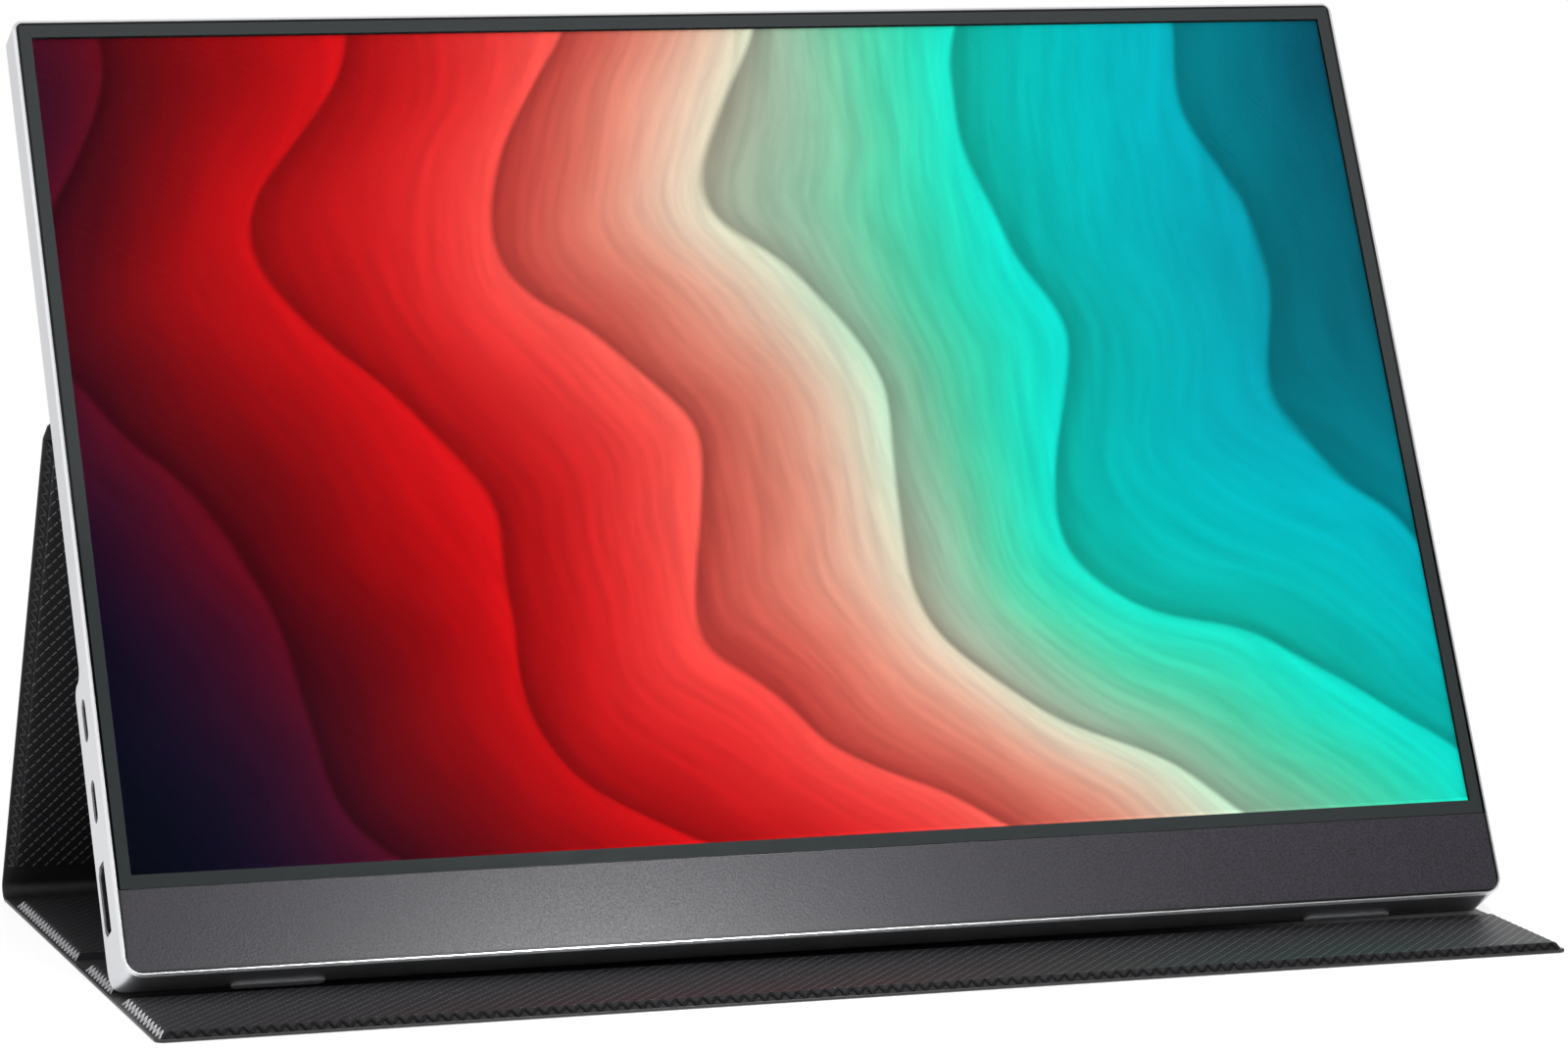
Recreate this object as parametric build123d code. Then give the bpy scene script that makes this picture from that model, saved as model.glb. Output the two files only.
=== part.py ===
from build123d import *
import math
import os

# A portable monitor standing on its folding cover. Millimetres.
#
# X runs to the viewer's right, Y runs back, Z runs up. The origin is the centre
# of the footprint. The monitor is modelled lying on its back: X across, Y up the
# face and -Z into its thickness. Each cover panel is modelled flat, with the
# outer skin down and the lining up. Both are then stood in place.

# Monitor, outside
FACE_WIDTH = 309.4
FACE_HEIGHT = 217.7
UPPER_THICKNESS = 9.8
LOWER_THICKNESS = 16.4
LOWER_HEIGHT = 69.4
TOP_CORNER_RADIUS = 2.2
BOTTOM_CORNER_RADIUS = 4.3
BOTTOM_BACK_RADIUS = 7.0
STEP_TOP_RADIUS = 3.5
STEP_FOOT_RADIUS = 2.5
TOP_BACK_RADIUS = 2.5
SIDE_BACK_RADIUS = 1.0
FRONT_CHAMFER = 0.45
SMALLEST_RADIUS = 0.2

# Monitor, housing walls and front plates
SIDE_WALL = 1.5
BACK_WALL = 1.4
RIM = 0.7
FRONT_PLATE = 1.0
PLATE_CLEARANCE = 0.1
CHIN_HEIGHT = 18.9
CHIN_JOINT = 0.2
CROSS_RIB_UNDER_CHIN = 1.0
CROSS_RIB_GAP = 0.3
RIB = 1.4
UPPER_RIBS_X = [-120.0, -60.0, 0.0, 60.0, 120.0]
UPPER_RIBS_ABOVE_MAGNETS = [-52.7, 23.3]
LOWER_RIBS_X = [10.0, 55.0, 100.0]
RIBBON_WINDOW_MARGIN = 1.0

# Display
PICTURE_FROM_SIDE = 3.9
PICTURE_FROM_TOP = 4.2
PICTURE_ABOVE_CHIN = 3.1
CELL_BORDER = 1.1
CELL_THICKNESS = 1.0
SHEETS_THICKNESS = 0.5
GUIDE_THICKNESS = 0.8
TRAY_THICKNESS = 0.5
TRAY_WALL = 0.3
LED_BAR_HEIGHT = 1.0

# Boards and what they carry
BOARD_THICKNESS = 1.2
BOARD_FRONT = 6.2
MAIN_BOARD_WIDTH = 112.0
MAIN_BOARD_BOTTOM = 12.5
MAIN_BOARD_TOP = 66.0
MAIN_BOARD_NOTCH_TOP = 19.0
MAIN_BOARD_LEG_WIDTH = 39.7
SIDE_BOARD_WIDTH = 24.0
SIDE_BOARD_BOTTOM = 13.0
SIDE_BOARD_TOP = 66.0
BOARD_EDGE_GAP = 0.8
SCREW_TO_EDGE = 3.8
BOSS_RADIUS = 2.6
SCREW_RADIUS = 0.95
SCREW_CLEARANCE = 0.05
SCREW_HOLE_RADIUS = 1.15
SCREW_HEAD_RADIUS = 1.8
SCREW_HEAD_HEIGHT = 1.1
SCREW_LENGTH = 5.0
SOCKET_SCREW_FROM_END = 14.0
MIDDLE_SCREW_FROM_END = 48.0
MIDDLE_SCREW_HEIGHT = 30.0
CHIP_THICKNESS = 1.2
CHIPS_FROM_END = [48.0, 68.0, 91.0, 26.0]
CHIP_HEIGHTS = [46.0, 33.0, 58.0, 36.0]
CHIP_SIZES = [15.0, 10.0, 7.0, 8.0]
RIBBON_THICKNESS = 0.2
RIBBON_WIDTH = 8.0
RIBBON_HEIGHT = 52.0
RIBBON_LAP = 5.0
TIMING_BOARD_WIDTH = 90.0
TIMING_BOARD_HEIGHT = 9.0
TIMING_BOARD_THICKNESS = 0.8
FLEX_WIDTH = 20.0
FLEX_TO_BOARD_END = 10.0
FLEX_TO_TIMING_BOARD_END = 30.0
FLEX_BEND_RADIUS = 1.5
FLEX_SLOPE = 2.0

# Sockets in the left side, by height up the face
USB_UPPER_HEIGHT = 59.4
USB_LOWER_HEIGHT = 41.4
USB_SHELL_LENGTH = 8.94
USB_SHELL_THICKNESS = 3.2
USB_SHELL_DEPTH = 7.3
USB_TONGUE_WIDTH = 6.7
USB_TONGUE_THICKNESS = 0.7
VIDEO_HEIGHT = 20.15
VIDEO_SHELL_LENGTH = 15.0
VIDEO_SHELL_THICKNESS = 5.6
VIDEO_SHELL_DEPTH = 11.0
VIDEO_CORNER_CUT = 1.5
VIDEO_TONGUE_WIDTH = 12.0
VIDEO_TONGUE_THICKNESS = 1.2
SHELL_WALL = 0.3
TONGUE_SETBACK = 1.2
SOCKET_RECESS = 0.3
SOCKET_CLEARANCE = 0.2

# Sockets and keys in the right side
JACK_HEIGHT = 22.0
JACK_BODY_LENGTH = 13.0
JACK_BODY_WIDTH = 6.5
JACK_BODY_THICKNESS = 5.0
JACK_BARREL_RADIUS = 2.7
JACK_BORE_RADIUS = 1.8
JACK_BORE_DEPTH = 12.0
POWER_KEY_HEIGHT = 60.0
PLUS_KEY_HEIGHT = 47.0
MINUS_KEY_HEIGHT = 36.0
KEY_LENGTH = 8.0
KEY_THICKNESS = 2.6
KEY_PROUD = 0.5
KEY_CLEARANCE = 0.2
KEY_FLANGE = 0.8
KEY_FLANGE_EDGE = 0.8
KEY_FLANGE_GAP = 0.3
KEY_TRAVEL_GAP = 0.35
SWITCH_LENGTH = 6.0
SWITCH_DEPTH = 3.6
SWITCH_HEIGHT = 4.8
SWITCH_PLUNGER_RADIUS = 1.0
SWITCH_PLUNGER_LENGTH = 1.2

# Underside
FOOT_LENGTH = 20.0
FOOT_WIDTH = 3.0
FOOT_FROM_SIDE = 34.2
FOOT_DEPTH = 9.4
FOOT_RECESS = 0.6
FOOT_PROUD = 0.6
SLOT_LENGTH = 13.0
SLOT_WIDTH = 1.2
SLOT_FROM_SIDE = 72.7
SLOT_DEPTH = 12.4
SPEAKER_LENGTH = 36.0
SPEAKER_HEIGHT = 11.0
SPEAKER_THICKNESS = 5.2
SPEAKER_FRONT = 7.6
SPEAKER_GAP = 1.1
SPEAKER_CORNER_RADIUS = 1.5
SPEAKER_CONE_LENGTH = 22.0
SPEAKER_CONE_WIDTH = 3.0
SPEAKER_CONE_DEPTH = 1.0

# Magnets and their keepers
MAGNET_LENGTH = 40.0
MAGNET_WIDTH = 18.0
MAGNET_X = 30.0
MAGNETS_ABOVE_FOLD = 24.5
KEEPER_THICKNESS = 0.6
FLAP_MAGNET_LENGTH = 20.0
FLAP_MAGNET_WIDTH = 8.0
FLAP_MAGNET_FROM_SIDE = 45.3

# Cover
COVER_OVERHANG = 0.6
OUTER_SKIN = 0.55
STIFFENER = 1.2
LINING = 0.45
EDGE_BORDER = 2.2
FOLD_BORDER = 1.2
FRONT_FLAP = 35.5
FRONT_GROOVE = 11.1
MIDDLE_FLAP = 24.65
REAR_GROOVE = 10.75
REAR_FLAP = 62.0
SPINE = 13.5
SPINE_BEND_RADIUS = 3.0
FLAP_CORNER_RADIUS = 2.0
BACK_CORNER_RADIUS = 8.0
FOLD_FLOOR_GAP = 0.1
LEG_END = 4.0
BACK_FOLD_HEIGHT = 128.2
BACK_FOLD_LAP = 3.5
BACK_PANEL_MARGIN = 1.0
BACK_PANEL_INSET = 3.0

# How the monitor stands
LEAN_ANGLE = 29.0
SEAT_CLEARANCE = 0.3
FRONT_FLAP_TO_FACE = 31.56

# Distances that only help the cutting and the search for edges
OVERSHOOT = 1.0
TOLERANCE = 0.01

# Sizes that follow from the ones above
PANEL = OUTER_SKIN + STIFFENER + LINING
FOLD = OUTER_SKIN + LINING
FOLD_THICKNESS = FOLD - FOLD_FLOOR_GAP
FOLD_MIDDLE = FOLD_FLOOR_GAP + FOLD_THICKNESS / 2
COVER_WIDTH = FACE_WIDTH + 2 * COVER_OVERHANG
FLAP_MAGNET_X = COVER_WIDTH / 2 - FLAP_MAGNET_FROM_SIDE
FRONT_FLAPS = FRONT_FLAP + FRONT_GROOVE + MIDDLE_FLAP
COVER_DEPTH = FRONT_FLAPS + REAR_GROOVE + REAR_FLAP + SPINE
COVER_FRONT = -COVER_DEPTH / 2
HALF_WIDTH = FACE_WIDTH / 2
LEAN = math.radians(LEAN_ANGLE)
CELL_FRONT = FRONT_PLATE
SHEETS_FRONT = CELL_FRONT + CELL_THICKNESS
GUIDE_FRONT = SHEETS_FRONT + SHEETS_THICKNESS
TRAY_FRONT = GUIDE_FRONT + GUIDE_THICKNESS
TRAY_BACK = TRAY_FRONT + TRAY_THICKNESS
PICTURE_RIGHT = HALF_WIDTH - PICTURE_FROM_SIDE
PICTURE_BOTTOM = CHIN_HEIGHT + PICTURE_ABOVE_CHIN
PICTURE_TOP = FACE_HEIGHT - PICTURE_FROM_TOP
LED_BOTTOM = PICTURE_BOTTOM - CELL_BORDER - LED_BAR_HEIGHT
TRAY_BOTTOM = LED_BOTTOM - TRAY_WALL
BOARD_BACK = BOARD_FRONT + BOARD_THICKNESS
KEY_DEPTH = BOARD_BACK + SWITCH_HEIGHT / 2
INNER_X = HALF_WIDTH - SIDE_WALL
UPPER_FLOOR = UPPER_THICKNESS - BACK_WALL
LOWER_FLOOR = LOWER_THICKNESS - BACK_WALL
MAGNET_HEIGHT = BACK_FOLD_HEIGHT + MAGNETS_ABOVE_FOLD
TIMING_BOARD_BACK = TRAY_BACK + TIMING_BOARD_THICKNESS
CROSS_RIB_DEPTH = BOARD_FRONT - SCREW_HEAD_HEIGHT - CROSS_RIB_GAP
MAIN_BOARD_LEFT = -INNER_X + BOARD_EDGE_GAP
MAIN_BOARD_RIGHT = MAIN_BOARD_LEFT + MAIN_BOARD_WIDTH
SIDE_BOARD_RIGHT = INNER_X - BOARD_EDGE_GAP
SIDE_BOARD_LEFT = SIDE_BOARD_RIGHT - SIDE_BOARD_WIDTH
FLEX_X = MAIN_BOARD_RIGHT - FLEX_TO_BOARD_END - FLEX_WIDTH / 2
TIMING_BOARD_RIGHT = FLEX_X + FLEX_WIDTH / 2 + FLEX_TO_TIMING_BOARD_END
FOOT_X = HALF_WIDTH - FOOT_FROM_SIDE
SLOT_X = HALF_WIDTH - SLOT_FROM_SIDE
USB_DEPTH = BOARD_BACK + USB_SHELL_THICKNESS / 2
VIDEO_DEPTH = BOARD_BACK + VIDEO_SHELL_THICKNESS / 2
JACK_DEPTH = BOARD_BACK + JACK_BODY_THICKNESS / 2
FLANGE_OUTSIDE = INNER_X - KEY_FLANGE_GAP
FLANGE_INSIDE = FLANGE_OUTSIDE - KEY_FLANGE

# Screws and keys, as places on the face, and chips, with the side of each square
KEY_HEIGHTS = {"power": POWER_KEY_HEIGHT, "plus": PLUS_KEY_HEIGHT, "minus": MINUS_KEY_HEIGHT}
SOCKET_SCREW_HEIGHT = (USB_UPPER_HEIGHT + USB_LOWER_HEIGHT) / 2
LEG_SCREW_X = MAIN_BOARD_LEFT + MAIN_BOARD_LEG_WIDTH - SCREW_TO_EDGE
SCREWS = [
    (MAIN_BOARD_LEFT + SOCKET_SCREW_FROM_END, SOCKET_SCREW_HEIGHT),
    (LEG_SCREW_X, MAIN_BOARD_BOTTOM + SCREW_TO_EDGE),
    (MAIN_BOARD_LEFT + MIDDLE_SCREW_FROM_END, MIDDLE_SCREW_HEIGHT),
    (MAIN_BOARD_RIGHT - SCREW_TO_EDGE, MAIN_BOARD_NOTCH_TOP + SCREW_TO_EDGE),
    (MAIN_BOARD_RIGHT - SCREW_TO_EDGE, MAIN_BOARD_TOP - SCREW_TO_EDGE),
    (SIDE_BOARD_LEFT + SCREW_TO_EDGE, SIDE_BOARD_BOTTOM + SCREW_TO_EDGE),
    (SIDE_BOARD_LEFT + SCREW_TO_EDGE, SIDE_BOARD_TOP - SCREW_TO_EDGE),
]
CHIPS_X = [MAIN_BOARD_LEFT + distance for distance in CHIPS_FROM_END]
CHIPS = list(zip(CHIPS_X, CHIP_HEIGHTS, CHIP_SIZES))

# The leaning monitor stands on the fold behind the front flap. Its lowest point is a
# foot or the rounded back edge.
EDGE_DROP = (
    (LOWER_THICKNESS - BOTTOM_BACK_RADIUS) * math.sin(LEAN)
    - BOTTOM_BACK_RADIUS * math.cos(LEAN)
    + BOTTOM_BACK_RADIUS
)
FOOT_DROP = FOOT_PROUD * math.cos(LEAN) + (FOOT_DEPTH + FOOT_WIDTH / 2) * math.sin(LEAN)
FACE_Y = COVER_FRONT + FRONT_FLAP_TO_FACE
FACE_Z = FOLD + SEAT_CLEARANCE + max(EDGE_DROP, FOOT_DROP)
MONITOR_FRAME = Pos(0, FACE_Y, FACE_Z) * Rot(90 - LEAN_ANGLE, 0, 0)

# The leg's outer face runs from the bend behind the spine to the fold at the monitor's back.
BACK_PANEL_OUTSIDE = UPPER_THICKNESS + SEAT_CLEARANCE + PANEL
FOLD_PIVOT = OUTER_SKIN / 2
BACK_FOLD_DEPTH = BACK_PANEL_OUTSIDE - FOLD_PIVOT
BACK_FOLD_Y = FACE_Y + BACK_FOLD_HEIGHT * math.sin(LEAN) + BACK_FOLD_DEPTH * math.cos(LEAN)
BACK_FOLD_Z = FACE_Z + BACK_FOLD_HEIGHT * math.cos(LEAN) - BACK_FOLD_DEPTH * math.sin(LEAN)
BEND_Y = -COVER_FRONT - SPINE_BEND_RADIUS
BEND_Z = SPINE_BEND_RADIUS
BEND_TO_FOLD = math.hypot(BACK_FOLD_Y - BEND_Y, BACK_FOLD_Z - BEND_Z)
LEG_ANGLE = math.degrees(
    math.atan2(BACK_FOLD_Z - BEND_Z, BACK_FOLD_Y - BEND_Y)
    + math.asin((SPINE_BEND_RADIUS - FOLD_PIVOT) / BEND_TO_FOLD)
)
LEG_REACH = math.sqrt(BEND_TO_FOLD**2 - (SPINE_BEND_RADIUS - FOLD_PIVOT) ** 2)
LEG_FRAME = (
    Pos(0, BEND_Y, BEND_Z) * Rot(LEG_ANGLE, 0, 0) * Pos(0, 0, -SPINE_BEND_RADIUS)
)
LEG_LENGTH = LEG_REACH - 2 * LEG_END
BACK_FRAME = MONITOR_FRAME * Pos(0, 0, -BACK_PANEL_OUTSIDE)
BACK_PANEL_START = BACK_FOLD_HEIGHT + BACK_FOLD_LAP
BACK_PANEL_LENGTH = FACE_HEIGHT - BACK_PANEL_MARGIN - BACK_PANEL_START
BACK_PANEL_WIDTH = COVER_WIDTH - 2 * BACK_PANEL_INSET


def slab(x0, x1, h0, h1, front, back):
    """A box in the monitor, from its sides, heights up the face and depths."""
    size = (x1 - x0, h1 - h0, back - front)
    return Pos((x0 + x1) / 2, (h0 + h1) / 2, -(front + back) / 2) * Box(*size)


def plan_prism(inset, front, back):
    """The face's rounded outline, drawn in by an inset, between two depths."""
    outline = Rectangle(FACE_WIDTH - 2 * inset, FACE_HEIGHT - 2 * inset)
    for end, radius in ((0, BOTTOM_CORNER_RADIUS), (-1, TOP_CORNER_RADIUS)):
        corners = outline.vertices().group_by(Axis.Y)[end]
        outline = fillet(corners, max(radius - inset, SMALLEST_RADIUS))
    return Pos(0, FACE_HEIGHT / 2, -back) * extrude(outline, back - front)


def side_profile(wall, floor):
    """The side view, thin above and thick below, drawn in by a wall and a floor."""
    bottom, top = wall, FACE_HEIGHT - wall
    deep, shallow = LOWER_THICKNESS - floor, UPPER_THICKNESS - floor
    step = LOWER_HEIGHT - floor
    round_bottom = BOTTOM_BACK_RADIUS - wall
    round_step = STEP_TOP_RADIUS - floor
    round_foot = STEP_FOOT_RADIUS + floor
    round_top = max(TOP_BACK_RADIUS - wall, SMALLEST_RADIUS)
    line = Polyline((bottom, 0), (bottom, -(deep - round_bottom)))
    line += RadiusArc(line @ 1, (bottom + round_bottom, -deep), -round_bottom)
    line += Line((bottom + round_bottom, -deep), (step - round_step, -deep))
    line += RadiusArc((step - round_step, -deep), (step, -(deep - round_step)), -round_step)
    line += Line((step, -(deep - round_step)), (step, -(shallow + round_foot)))
    line += RadiusArc((step, -(shallow + round_foot)), (step + round_foot, -shallow), round_foot)
    line += Line((step + round_foot, -shallow), (top - round_top, -shallow))
    line += RadiusArc((top - round_top, -shallow), (top, -(shallow - round_top)), -round_top)
    line += Line((top, -(shallow - round_top)), (top, 0))
    line += Line((top, 0), (bottom, 0))
    return make_face(line)


def monitor_block(wall, floor, width, rounding=0.0):
    """The side view carried across the width, with the face's rounded corners."""
    across = Plane.YZ.offset(-width / 2) * side_profile(wall, floor)
    block = extrude(across, width, dir=(1, 0, 0))
    if rounding:
        block = fillet(back_side_edges(block, wall, width), rounding)
    return block & plan_prism(wall, 0, LOWER_THICKNESS)


def back_side_edges(block, wall, width):
    """The edges where the side walls turn into the back."""
    front_of_back = -(UPPER_THICKNESS - TOP_BACK_RADIUS)
    edges = []
    for edge in block.edges():
        middle = edge.center()
        on_side = abs(abs(middle.X) - width / 2) < TOLERANCE
        on_back = middle.Z < front_of_back
        between_ends = wall + TOLERANCE < middle.Y < FACE_HEIGHT - wall - TOLERANCE
        if on_side and on_back and between_ends:
            edges.append(edge)
    return edges


def side_prism(outline, height, depth, x0, x1):
    """An outline in a side wall, centred at a height and depth, from x0 to x1."""
    place = Plane.YZ.offset(x0) * Pos(height, -depth)
    return extrude(place * outline, x1 - x0, dir=(1, 0, 0))


def bottom_prism(outline, x, depth, h0, h1):
    """An outline in the underside, centred at x and a depth, from h0 to h1 up the face."""
    place = Plane.XZ.offset(-h0) * Pos(x, -depth)
    return extrude(place * outline, h1 - h0, dir=(0, 1, 0))


def post(x, height, radius, front, back):
    """A round post through the thickness."""
    return Pos(x, height, -(front + back) / 2) * Cylinder(radius, back - front)


# Housing

def usb_outline(growth=0.0):
    return SlotOverall(USB_SHELL_LENGTH + 2 * growth, USB_SHELL_THICKNESS + 2 * growth)


def video_outline(growth=0.0):
    """The socket's outline, with the two corners away from the board cut off."""
    length = VIDEO_SHELL_LENGTH + 2 * growth
    thickness = VIDEO_SHELL_THICKNESS + 2 * growth
    outline = Rectangle(length, thickness)
    return chamfer(outline.vertices().group_by(Axis.Y)[0], VIDEO_CORNER_CUT)


def key_outline(growth=0.0):
    return SlotOverall(KEY_LENGTH + 2 * growth, KEY_THICKNESS + 2 * growth)


def wall_cuts():
    """Every opening through the side walls and the underside."""
    left = (-HALF_WIDTH - OVERSHOOT, -INNER_X + OVERSHOOT)
    right = (INNER_X - OVERSHOOT, HALF_WIDTH + OVERSHOOT)
    cuts = []
    for height in (USB_UPPER_HEIGHT, USB_LOWER_HEIGHT):
        cuts.append(side_prism(usb_outline(SOCKET_CLEARANCE), height, USB_DEPTH, *left))
    cuts.append(side_prism(video_outline(SOCKET_CLEARANCE), VIDEO_HEIGHT, VIDEO_DEPTH, *left))
    for height in KEY_HEIGHTS.values():
        cuts.append(side_prism(key_outline(KEY_CLEARANCE), height, KEY_DEPTH, *right))
    jack_hole = Circle(JACK_BARREL_RADIUS + SOCKET_CLEARANCE)
    cuts.append(side_prism(jack_hole, JACK_HEIGHT, JACK_DEPTH, *right))
    foot = SlotOverall(FOOT_LENGTH, FOOT_WIDTH)
    slot = SlotOverall(SLOT_LENGTH, SLOT_WIDTH)
    for side in (-1, 1):
        cuts.append(bottom_prism(foot, side * FOOT_X, FOOT_DEPTH, -OVERSHOOT, FOOT_RECESS))
        cuts.append(bottom_prism(slot, side * SLOT_X, SLOT_DEPTH, -OVERSHOOT, 2 * SIDE_WALL))
    return cuts


def display_ribs():
    """Ribs behind the display, and the cross rib under the joint of glass and chin."""
    into_wall = BACK_WALL / 2
    top = FACE_HEIGHT - SIDE_WALL / 2
    upper_back = UPPER_FLOOR + into_wall
    lower_back = LOWER_FLOOR + into_wall
    half = RIB / 2
    ribs = []
    for x in UPPER_RIBS_X:
        ribs.append(slab(x - half, x + half, LOWER_HEIGHT - BACK_WALL, top, TRAY_BACK, upper_back))
    for above in UPPER_RIBS_ABOVE_MAGNETS:
        height = MAGNET_HEIGHT + above
        ribs.append(slab(-HALF_WIDTH, HALF_WIDTH, height - half, height + half, TRAY_BACK, upper_back))
    cross_bottom = CHIN_HEIGHT - CROSS_RIB_UNDER_CHIN
    cross_top = TRAY_BOTTOM - CROSS_RIB_GAP
    ribs.append(slab(-HALF_WIDTH, HALF_WIDTH, cross_bottom, cross_top, FRONT_PLATE, CROSS_RIB_DEPTH))
    window_half = RIBBON_WIDTH / 2 + RIBBON_WINDOW_MARGIN
    for x in LOWER_RIBS_X:
        rib = slab(x - half, x + half, cross_bottom, LOWER_HEIGHT, TRAY_BACK, lower_back)
        window_front = BOARD_FRONT - RIBBON_WINDOW_MARGIN
        window_back = BOARD_FRONT + RIBBON_WINDOW_MARGIN
        rib -= slab(
            x - RIB, x + RIB, RIBBON_HEIGHT - window_half, RIBBON_HEIGHT + window_half,
            window_front, window_back,
        )
        ribs.append(rib)
    return ribs


def board_bosses():
    """Screw posts behind the boards."""
    into_wall = LOWER_FLOOR + BACK_WALL / 2
    return [post(x, height, BOSS_RADIUS, BOARD_BACK, into_wall) for x, height in SCREWS]


def speaker_seats():
    """Two ribs behind each speaker."""
    back = SPEAKER_FRONT + SPEAKER_THICKNESS
    offset = SPEAKER_LENGTH / 3
    bottom = SIDE_WALL + SPEAKER_GAP
    top = bottom + SPEAKER_HEIGHT
    into_wall = LOWER_FLOOR + BACK_WALL / 2
    seats = []
    for centre in (-SLOT_X, SLOT_X):
        for x in (centre - offset, centre + offset):
            seats.append(slab(x - RIB / 2, x + RIB / 2, bottom, top, back, into_wall))
    return seats


def make_rear_housing():
    """The metal housing: one shell, with ribs, bosses, seats and socket openings."""
    shell = monitor_block(0, 0, FACE_WIDTH, SIDE_BACK_RADIUS)
    front_face = shell.faces().sort_by(Axis.Z)[-1]
    shell = chamfer(front_face.outer_wire().edges(), FRONT_CHAMFER)
    shell -= plan_prism(RIM, -OVERSHOOT, FRONT_PLATE)
    shell -= monitor_block(SIDE_WALL, BACK_WALL, FACE_WIDTH - 2 * SIDE_WALL)
    inside = monitor_block(SIDE_WALL / 2, BACK_WALL / 2, FACE_WIDTH - SIDE_WALL)
    inside &= plan_prism(SIDE_WALL / 2, FRONT_PLATE, LOWER_THICKNESS)
    supports = Part() + (display_ribs() + board_bosses() + speaker_seats())
    shell += supports & inside
    hole_end = BOARD_FRONT + SCREW_LENGTH + SCREW_CLEARANCE
    for x, height in SCREWS:
        shell -= post(x, height, SCREW_RADIUS + SCREW_CLEARANCE, BOARD_BACK, hole_end)
    return shell - wall_cuts()


# Front plates and display

def make_front_plates():
    """The glass and the chin, cut from one rounded outline along their joint."""
    plate = plan_prism(RIM + PLATE_CLEARANCE, 0, FRONT_PLATE)
    joint = CHIN_JOINT / 2
    chin = plate & slab(-HALF_WIDTH, HALF_WIDTH, 0, CHIN_HEIGHT - joint, 0, FRONT_PLATE)
    glass = plate & slab(-HALF_WIDTH, HALF_WIDTH, CHIN_HEIGHT + joint, FACE_HEIGHT, 0, FRONT_PLATE)
    return {"cover_glass": glass, "chin_panel": chin}


def display_layer(border, bottom, front, back):
    """One layer of the display, wider than the picture by a border."""
    side = PICTURE_RIGHT + border
    return slab(-side, side, bottom, PICTURE_TOP + border, front, back)


def make_display():
    """The layers behind the glass, in the steel tray that holds them."""
    bottom = PICTURE_BOTTOM - CELL_BORDER
    side = PICTURE_RIGHT + CELL_BORDER
    tray = display_layer(CELL_BORDER + TRAY_WALL, TRAY_BOTTOM, CELL_FRONT, TRAY_BACK)
    tray -= display_layer(CELL_BORDER, LED_BOTTOM, CELL_FRONT - OVERSHOOT, TRAY_FRONT)
    return {
        "display_cell": display_layer(CELL_BORDER, bottom, CELL_FRONT, SHEETS_FRONT),
        "optical_sheets": display_layer(CELL_BORDER, bottom, SHEETS_FRONT, GUIDE_FRONT),
        "light_guide": display_layer(CELL_BORDER, bottom, GUIDE_FRONT, TRAY_FRONT),
        "led_bar": slab(-side, side, LED_BOTTOM, bottom, GUIDE_FRONT, TRAY_FRONT),
        "display_tray": tray,
    }


# Boards

def screw_holes():
    return [post(x, height, SCREW_HOLE_RADIUS, BOARD_FRONT, BOARD_BACK) for x, height in SCREWS]


def make_main_board():
    """The board behind the left side, stepped to clear the speaker."""
    left, right = MAIN_BOARD_LEFT, MAIN_BOARD_RIGHT
    step = left + MAIN_BOARD_LEG_WIDTH
    board = slab(left, right, MAIN_BOARD_NOTCH_TOP, MAIN_BOARD_TOP, BOARD_FRONT, BOARD_BACK)
    board += slab(left, step, MAIN_BOARD_BOTTOM, MAIN_BOARD_NOTCH_TOP, BOARD_FRONT, BOARD_BACK)
    return board - screw_holes()


def make_side_board():
    left, right = SIDE_BOARD_LEFT, SIDE_BOARD_RIGHT
    board = slab(left, right, SIDE_BOARD_BOTTOM, SIDE_BOARD_TOP, BOARD_FRONT, BOARD_BACK)
    return board - screw_holes()


def make_board_screws():
    screws = []
    for x, height in SCREWS:
        head = post(x, height, SCREW_HEAD_RADIUS, BOARD_FRONT - SCREW_HEAD_HEIGHT, BOARD_FRONT)
        shank = post(x, height, SCREW_RADIUS, BOARD_FRONT, BOARD_FRONT + SCREW_LENGTH)
        screws.append(head + shank)
    return Compound(screws)


def make_board_chips():
    chips = []
    for x, height, size in CHIPS:
        half = size / 2
        front = BOARD_FRONT - CHIP_THICKNESS
        chips.append(slab(x - half, x + half, height - half, height + half, front, BOARD_FRONT))
    return Compound(chips)


def make_side_ribbon():
    """A flat ribbon on the front of both boards, through the ribs' windows."""
    left = MAIN_BOARD_RIGHT - RIBBON_LAP
    right = SIDE_BOARD_LEFT + RIBBON_LAP
    half = RIBBON_WIDTH / 2
    front = BOARD_FRONT - RIBBON_THICKNESS
    return slab(left, right, RIBBON_HEIGHT - half, RIBBON_HEIGHT + half, front, BOARD_FRONT)


def make_timing_board():
    left = TIMING_BOARD_RIGHT - TIMING_BOARD_WIDTH
    top = PICTURE_BOTTOM + TIMING_BOARD_HEIGHT
    return slab(left, TIMING_BOARD_RIGHT, PICTURE_BOTTOM, top, TRAY_BACK, TIMING_BOARD_BACK)


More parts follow.
